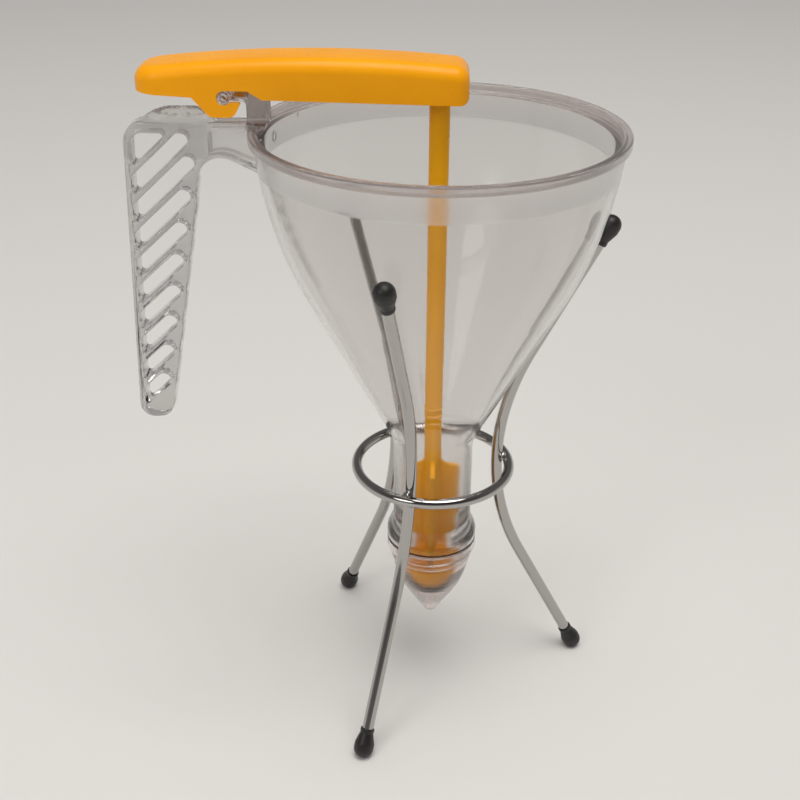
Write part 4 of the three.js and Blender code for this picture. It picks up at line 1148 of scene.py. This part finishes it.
def feed(material, term, socket):
    """Gives a node's input the output of another node, or a plain value."""
    if isinstance(term, bpy.types.NodeSocket):
        material.node_tree.links.new(term, socket)
    else:
        socket.default_value = term


def calc(material, operation, *terms):
    """The sum, product or other result of some terms."""
    node = add(material, "ShaderNodeMath", operation=operation)
    for term, socket in zip(terms, node.inputs):
        feed(material, term, socket)
    return node.outputs["Value"]


def ramp(material, value, start, end, low=0.0, high=1.0, smooth=False):
    """Goes from low, where a value is at its start, to high at its end, and no further."""
    kind = "SMOOTHSTEP" if smooth else "LINEAR"
    node = add(material, "ShaderNodeMapRange", interpolation_type=kind,
               from_min=start, from_max=end, to_min=low, to_max=high)
    feed(material, value, node.inputs["Value"])
    return node.outputs["Result"]


def between(material, value, low, high, soft):
    """1 where a value lies between two limits in millimetres, with soft borders."""
    rise = ramp(material, value, (low - soft) * MM, (low + soft) * MM, smooth=True)
    fall = ramp(material, value, (high + soft) * MM, (high - soft) * MM, smooth=True)
    return calc(material, "MULTIPLY", rise, fall)


def mixed(material, share, first, second):
    """A colour that goes from the first to the second as the share goes from 0 to 1."""
    node = add(material, "ShaderNodeMix", data_type="RGBA")
    for term, socket in ((share, 0), (first, 6), (second, 7)):
        feed(material, term, node.inputs[socket])
    return node.outputs[2]


def noise(material, scale, detail=3.0):
    """Noise on Object coordinates, which are metres: a scale of 100 has 10 mm blotches."""
    texture = add(material, "ShaderNodeTexNoise", scale=scale, detail=detail)
    feed(material, add(material, "ShaderNodeTexCoord").outputs["Object"], texture.inputs["Vector"])
    return texture.outputs["Fac"]


def blotches(material, scale, low=0.0, high=1.0):
    """Noise as values between low and high."""
    return ramp(material, noise(material, scale), *NOISE_REACH, low, high)


def grain(material, shader, scale, detail, depth, strength=1.0):
    """A fine relief of noise, depth metres deep, on top of the relief that the shader has."""
    relief = add(material, "ShaderNodeBump", distance=depth, strength=strength)
    feed(material, noise(material, scale, detail), relief.inputs["Height"])
    for under in [made.from_socket for made in shader.inputs["Normal"].links]:
        feed(material, under, relief.inputs["Normal"])
    feed(material, relief.outputs["Normal"], shader.inputs["Normal"])
    return relief


def clear_plastic(name, tint, roughness):
    """Clear plastic with faint waves in its surface. Lamps shine through it, a little dimmed."""
    material, shader = new_material(name, tint, roughness)
    shader.inputs["Transmission Weight"].default_value = 1.0
    shader.inputs["IOR"].default_value = PLASTIC_IOR
    shader.inputs["Specular Tint"].default_value = MIRROR_TINT
    grain(material, shader, scale=60, detail=2, depth=0.0004, strength=0.06)
    passing = add(material, "ShaderNodeBsdfTransparent")
    passing.inputs["Color"].default_value = LIGHT_PASSED
    either = add(material, "ShaderNodeMixShader")
    feed(material, add(material, "ShaderNodeLightPath").outputs["Is Shadow Ray"], either.inputs[0])
    feed(material, shader.outputs["BSDF"], either.inputs[1])
    feed(material, passing.outputs["BSDF"], either.inputs[2])
    surface = material.node_tree.nodes["Material Output"].inputs["Surface"]
    feed(material, either.outputs["Shader"], surface)
    return material, shader


def bowl_plastic(name):
    """Clear plastic whose finish changes with the height, the distance from the bowl's axis and
    the distance along the arm. It is satin in the neck, frosted on the band's outer wall, darker
    and brownish with painted shade in the lip's edges, greyer with painted shade in the handle,
    and uneven on the bracket."""
    material, shader = clear_plastic(name, CLEAR_TINT, CLEAR_ROUGHNESS)
    place = add(material, "ShaderNodeTexCoord").outputs["Object"]
    parts = add(material, "ShaderNodeSeparateXYZ")
    feed(material, place, parts.inputs["Vector"])
    along, height = parts.outputs["X"], parts.outputs["Z"]
    flat = add(material, "ShaderNodeVectorMath", operation="MULTIPLY_ADD")
    for socket, term in zip(flat.inputs, (place, (1, 1, 0), (-AXIS[0], -AXIS[1], 0))):
        feed(material, term, socket)
    distance = add(material, "ShaderNodeVectorMath", operation="LENGTH")
    feed(material, flat.outputs["Vector"], distance.inputs[0])
    radius = distance.outputs["Value"]

    # The band's outer wall has one radius, once its taper is taken off
    straight = calc(material, "MULTIPLY_ADD", height, -BAND_TAPER, radius)
    outer = BAND_RADIUS - BAND_TAPER * LIP_UNDER
    frost = calc(material, "MULTIPLY",
                 between(material, height, BAND_LOW, RIM - LIP_CLEAR, FROST_SOFT),
                 between(material, straight, outer - FROST_SKIN, outer + LIP_RADIUS, FROST_SKIN_SOFT))
    # Painted shade on the lip's top edge and the edge under it: a darker tint and less clearness
    edges = []
    for start, end, reach in ((RIM - LIP_EDGE, RIM - LIP_EDGE / 3, LIP_RADIUS + GAP),
                              (LIP_UNDER - GAP, LIP_UNDER, LIP_RADIUS - LIP_WIDTH + GAP)):
        edges.append(calc(material, "MULTIPLY",
                          ramp(material, height, start * MM, end * MM, smooth=True),
                          between(material, radius, LEDGE_RADIUS - WALL, reach, LIP_SOFT)))
    lip = calc(material, "MAXIMUM", *edges)

    neck_low, neck_high = CONE_FOOT - NECK_BEND / 2, CONE_FOOT + NECK_BEND / 2
    satin_neck = ramp(material, height, neck_low * MM, neck_high * MM,
                      NECK_ROUGHNESS, CLEAR_ROUGHNESS, smooth=True)
    satin_lip = ramp(material, height, (RIM - LIP_DEPTH) * MM, (RIM - LIP_EDGE) * MM,
                     CLEAR_ROUGHNESS, LIP_ROUGHNESS)
    rougher = calc(material, "MAXIMUM", satin_neck,
                   ramp(material, frost, 0, 1, CLEAR_ROUGHNESS, FROST_ROUGHNESS))
    feed(material, calc(material, "MAXIMUM", rougher, satin_lip), shader.inputs["Roughness"])
    clearness = calc(material, "MINIMUM",
                     ramp(material, frost, 0, 1, 1.0, FROST_CLEARNESS),
                     ramp(material, lip, 0, 1, 1.0, LIP_CLEARNESS))
    feed(material, clearness, shader.inputs["Transmission Weight"])

    # Painted shade: the handle gets a greyer tint than the bowl
    handle_shade = ramp(material, along, AXIS[0] + (GRIP_TOP_X + HUMP_INSET) * MM,
                     AXIS[0] + (GRIP_TOP_X - HUMP_INSET) * MM, smooth=True)
    tint = mixed(material, handle_shade, CLEAR_TINT, HANDLE_SHADE_TINT)
    feed(material, mixed(material, lip, tint, LIP_SHADE_TINT), shader.inputs["Base Color"])
    ripple = grain(material, shader, scale=330, detail=1, depth=0.0008)
    uneven = ramp(material, height, ARM_TOP * MM, (ARM_TOP + PAD_THICKNESS) * MM,
                  0.0, POST_UNEVEN, smooth=True)
    feed(material, uneven, ripple.inputs["Strength"])
    return material


def yellow_plastic(name, darker, lighter):
    """Satin moulded plastic with a fine grain and slight changes of colour and gloss."""
    material, shader = new_material(name, lighter)
    shader.inputs["Specular IOR Level"].default_value = YELLOW_GLOSS
    color = mixed(material, blotches(material, 45), darker, lighter)
    feed(material, color, shader.inputs["Base Color"])
    feed(material, blotches(material, 260, *YELLOW_ROUGHNESS), shader.inputs["Roughness"])
    grain(material, shader, scale=2600, detail=2, depth=0.00002, strength=0.35)
    return material


def chrome(name, smoothest, roughest, waves):
    """Metal with changes of gloss and faint waves. Its colour is darker than chrome's own: painted dark
    reflections of the surroundings.
    """
    material, shader = new_material(name, CHROME_SHADE_COLOR)
    shader.inputs["Metallic"].default_value = 1.0
    feed(material, blotches(material, 320, smoothest, roughest), shader.inputs["Roughness"])
    grain(material, shader, scale=700, detail=2, depth=0.00004, strength=waves)
    return material


def rubber(name, color, roughness, relief):
    """Moulded rubber with a fine grain and slight changes of gloss."""
    material, shader = new_material(name, color)
    changes = blotches(material, 500, roughness - RUBBER_CHANGE, roughness + RUBBER_CHANGE)
    feed(material, changes, shader.inputs["Roughness"])
    grain(material, shader, scale=1800, detail=3, depth=0.00005, strength=relief)
    return material


clear_bowl = bowl_plastic("clear_bowl_plastic")
clear_nozzle = clear_plastic("clear_nozzle_plastic", NOZZLE_TINT, NECK_ROUGHNESS)[0]
yellow = yellow_plastic("yellow_plastic", darker=(0.91, 0.355, 0.0, 1), lighter=(0.95, 0.39, 0.001, 1))
# Painted shade: the plunger's copy of the lever's yellow has less red, which dims and yellows the rod
# inside the bowl
plunger_shade_yellow = yellow_plastic("plunger_shade_yellow_plastic", darker=(0.85, 0.375, 0.0, 1),
                                lighter=(0.89, 0.41, 0.001, 1))
bright_chrome = chrome("bright_chrome", smoothest=0.05, roughest=0.13, waves=0.12)
weld_chrome = chrome("weld_chrome", smoothest=0.12, roughest=0.28, waves=0.6)
black_rubber = rubber("black_rubber", (0.013, 0.012, 0.011, 1), roughness=0.42, relief=0.3)
dark_rubber = rubber("dark_seal_rubber", (0.02, 0.012, 0.01, 1), roughness=0.5, relief=0.2)
# dark red: the seal's colour, and painted shade of the gap between flange and nozzle where its edge
# shows
red_rubber = rubber("red_seal_rubber", (0.075, 0.012, 0.006, 1), roughness=0.45, relief=0.2)


# The pieces in place

marks = [wall_mark(f"mark_{number}", *mark) for number, mark in enumerate(WALL_MARKS)]
moulding = join(bowl(), handle(), bracket(), *marks)
finish_piece(moulding, clear_bowl, "funnel", "clear_bowl", "funnel_body", "handle")
finish_piece(lever(), yellow, "lever", "yellow_lever", "lever")
finish_piece(plunger(), plunger_shade_yellow, "plunger", "yellow_plunger", "plunger")
finish_piece(nozzle(), clear_nozzle, "nozzle", "clear_nozzle", "nozzle")
finish_piece(nozzle_seal(), red_rubber, "gasket", "red_seal", "nozzle_seal")
stopper_ring = ring("stopper_ring", RING_RADIUS, RING_SECTION, SEAT, 2 * BAR_SIDES)
finish_piece(stopper_ring, dark_rubber, "plunger", "dark_seal", "stopper_seal")
stand_ring = ring("chrome_ring", STAND_RADIUS, RING_WIRE_RADIUS, RING)
finish_piece(stand_ring, bright_chrome, "stand", "chrome_wire", "stand_ring")
for leg in range(len(LEG_AZIMUTHS)):
    number = leg + 1
    finish_piece(wire(leg), bright_chrome, "stand", "chrome_wire", f"leg_{number}")
    finish_piece(weld(leg), weld_chrome, "stand", "chrome_wire", f"weld_{number}")
    foot_cap = cap(f"rubber_foot_{number}", leg, LEGS[leg][2], on_floor=True)
    finish_piece(foot_cap, black_rubber, "stand", "black_rubber", f"foot_cap_{number}")
    top_cap = cap(f"rubber_top_{number}", leg, LEGS[leg][3])
    finish_piece(top_cap, black_rubber, "stand", "black_rubber", f"top_cap_{number}")


# Floor, background and light

def floor():
    """A flat square just under z = 0, so that it doesn't lie in the feet's faces."""
    corners = np.array([(-1, -1), (1, -1), (1, 1), (-1, 1)]) * FLOOR_SIZE
    mesh = bpy.data.meshes.new("floor")
    mesh.from_pydata([(x, y, -SAME_SPOT * MM) for x, y in corners], [], [[0, 1, 2, 3]])
    mesh.materials.append(new_material("floor_paint", FLOOR_COLOR, FLOOR_ROUGHNESS)[0])
    new_object("floor", mesh)


def world():
    """A plain soft light on surfaces. Metal and clear plastic see surroundings that are pale round
    the horizon and darker overhead and behind the camera."""
    made = bpy.data.worlds.new("studio")
    bpy.context.scene.world = made
    made.use_nodes = True
    background = made.node_tree.nodes["Background"]
    background.inputs["Color"].default_value = BACKGROUND
    parts = add(made, "ShaderNodeSeparateXYZ")
    feed(made, add(made, "ShaderNodeTexCoord").outputs["Generated"], parts.inputs["Vector"])
    rays = add(made, "ShaderNodeLightPath")
    strength = AMBIENT
    for ray, (horizon, overhead, front) in SEEN_LEVELS.items():
        level = ramp(made, parts.outputs["Z"], 0.0, OVERHEAD_FROM, horizon, overhead, smooth=True)
        share = ramp(made, parts.outputs["Y"], FRONT_TO, BACK_FROM, front, 1.0)
        chosen = add(made, "ShaderNodeMix", data_type="FLOAT")
        feed(made, rays.outputs[f"Is {ray} Ray"], chosen.inputs[0])
        feed(made, strength, chosen.inputs[2])
        feed(made, calc(made, "MULTIPLY", level, share), chosen.inputs[3])
        strength = chosen.outputs[0]
    feed(made, strength, background.inputs["Strength"])


def area_light(name, place, target, size, power, color):
    """A round lamp at a place in metres that shines towards a target."""
    light = bpy.data.lights.new(name, "AREA")
    light.shape = "DISK"
    light.size = size
    light.energy = power
    light.color = color
    made = new_object(name, light)
    direction = Vector(target) - Vector(place)
    made.rotation_euler = direction.to_track_quat("-Z", "Y").to_euler()
    made.location = place


def camera():
    """Looks along (sin yaw cos pitch, cos yaw cos pitch, -sin pitch), rolled about that line."""
    lens = bpy.data.cameras.new("camera")
    lens.sensor_width = SENSOR
    lens.lens = LENS
    made = new_object("camera", lens)
    ahead = Vector((math.sin(CAMERA_YAW) * math.cos(CAMERA_PITCH),
                    math.cos(CAMERA_YAW) * math.cos(CAMERA_PITCH), -math.sin(CAMERA_PITCH)))
    right = Vector((math.cos(CAMERA_YAW), -math.sin(CAMERA_YAW), 0))
    up = right.cross(ahead)
    tilted_right = math.cos(CAMERA_ROLL) * right + math.sin(CAMERA_ROLL) * up
    tilted_up = math.cos(CAMERA_ROLL) * up - math.sin(CAMERA_ROLL) * right
    turn = Matrix((tilted_right, tilted_up, -ahead)).transposed().to_4x4()
    place = Vector((AXIS[0], AXIS[1] - CAMERA_BACK * MM, CAMERA_HEIGHT * MM))
    made.matrix_world = Matrix.Translation(place) @ turn
    bpy.context.scene.camera = made


floor()
world()
area_light("top_light", place=(0.3, -0.5, 3.2), target=(0, 0, 0.1), size=2.2, power=64.0,
           color=(1.0, 0.98, 0.95))
area_light("side_light", place=(-1.0, -1.2, 1.2), target=(0, 0, 0.2), size=0.8, power=5.0,
           color=(1.0, 0.98, 0.96))
camera()
bpy.context.scene.view_settings.view_transform = "Standard"
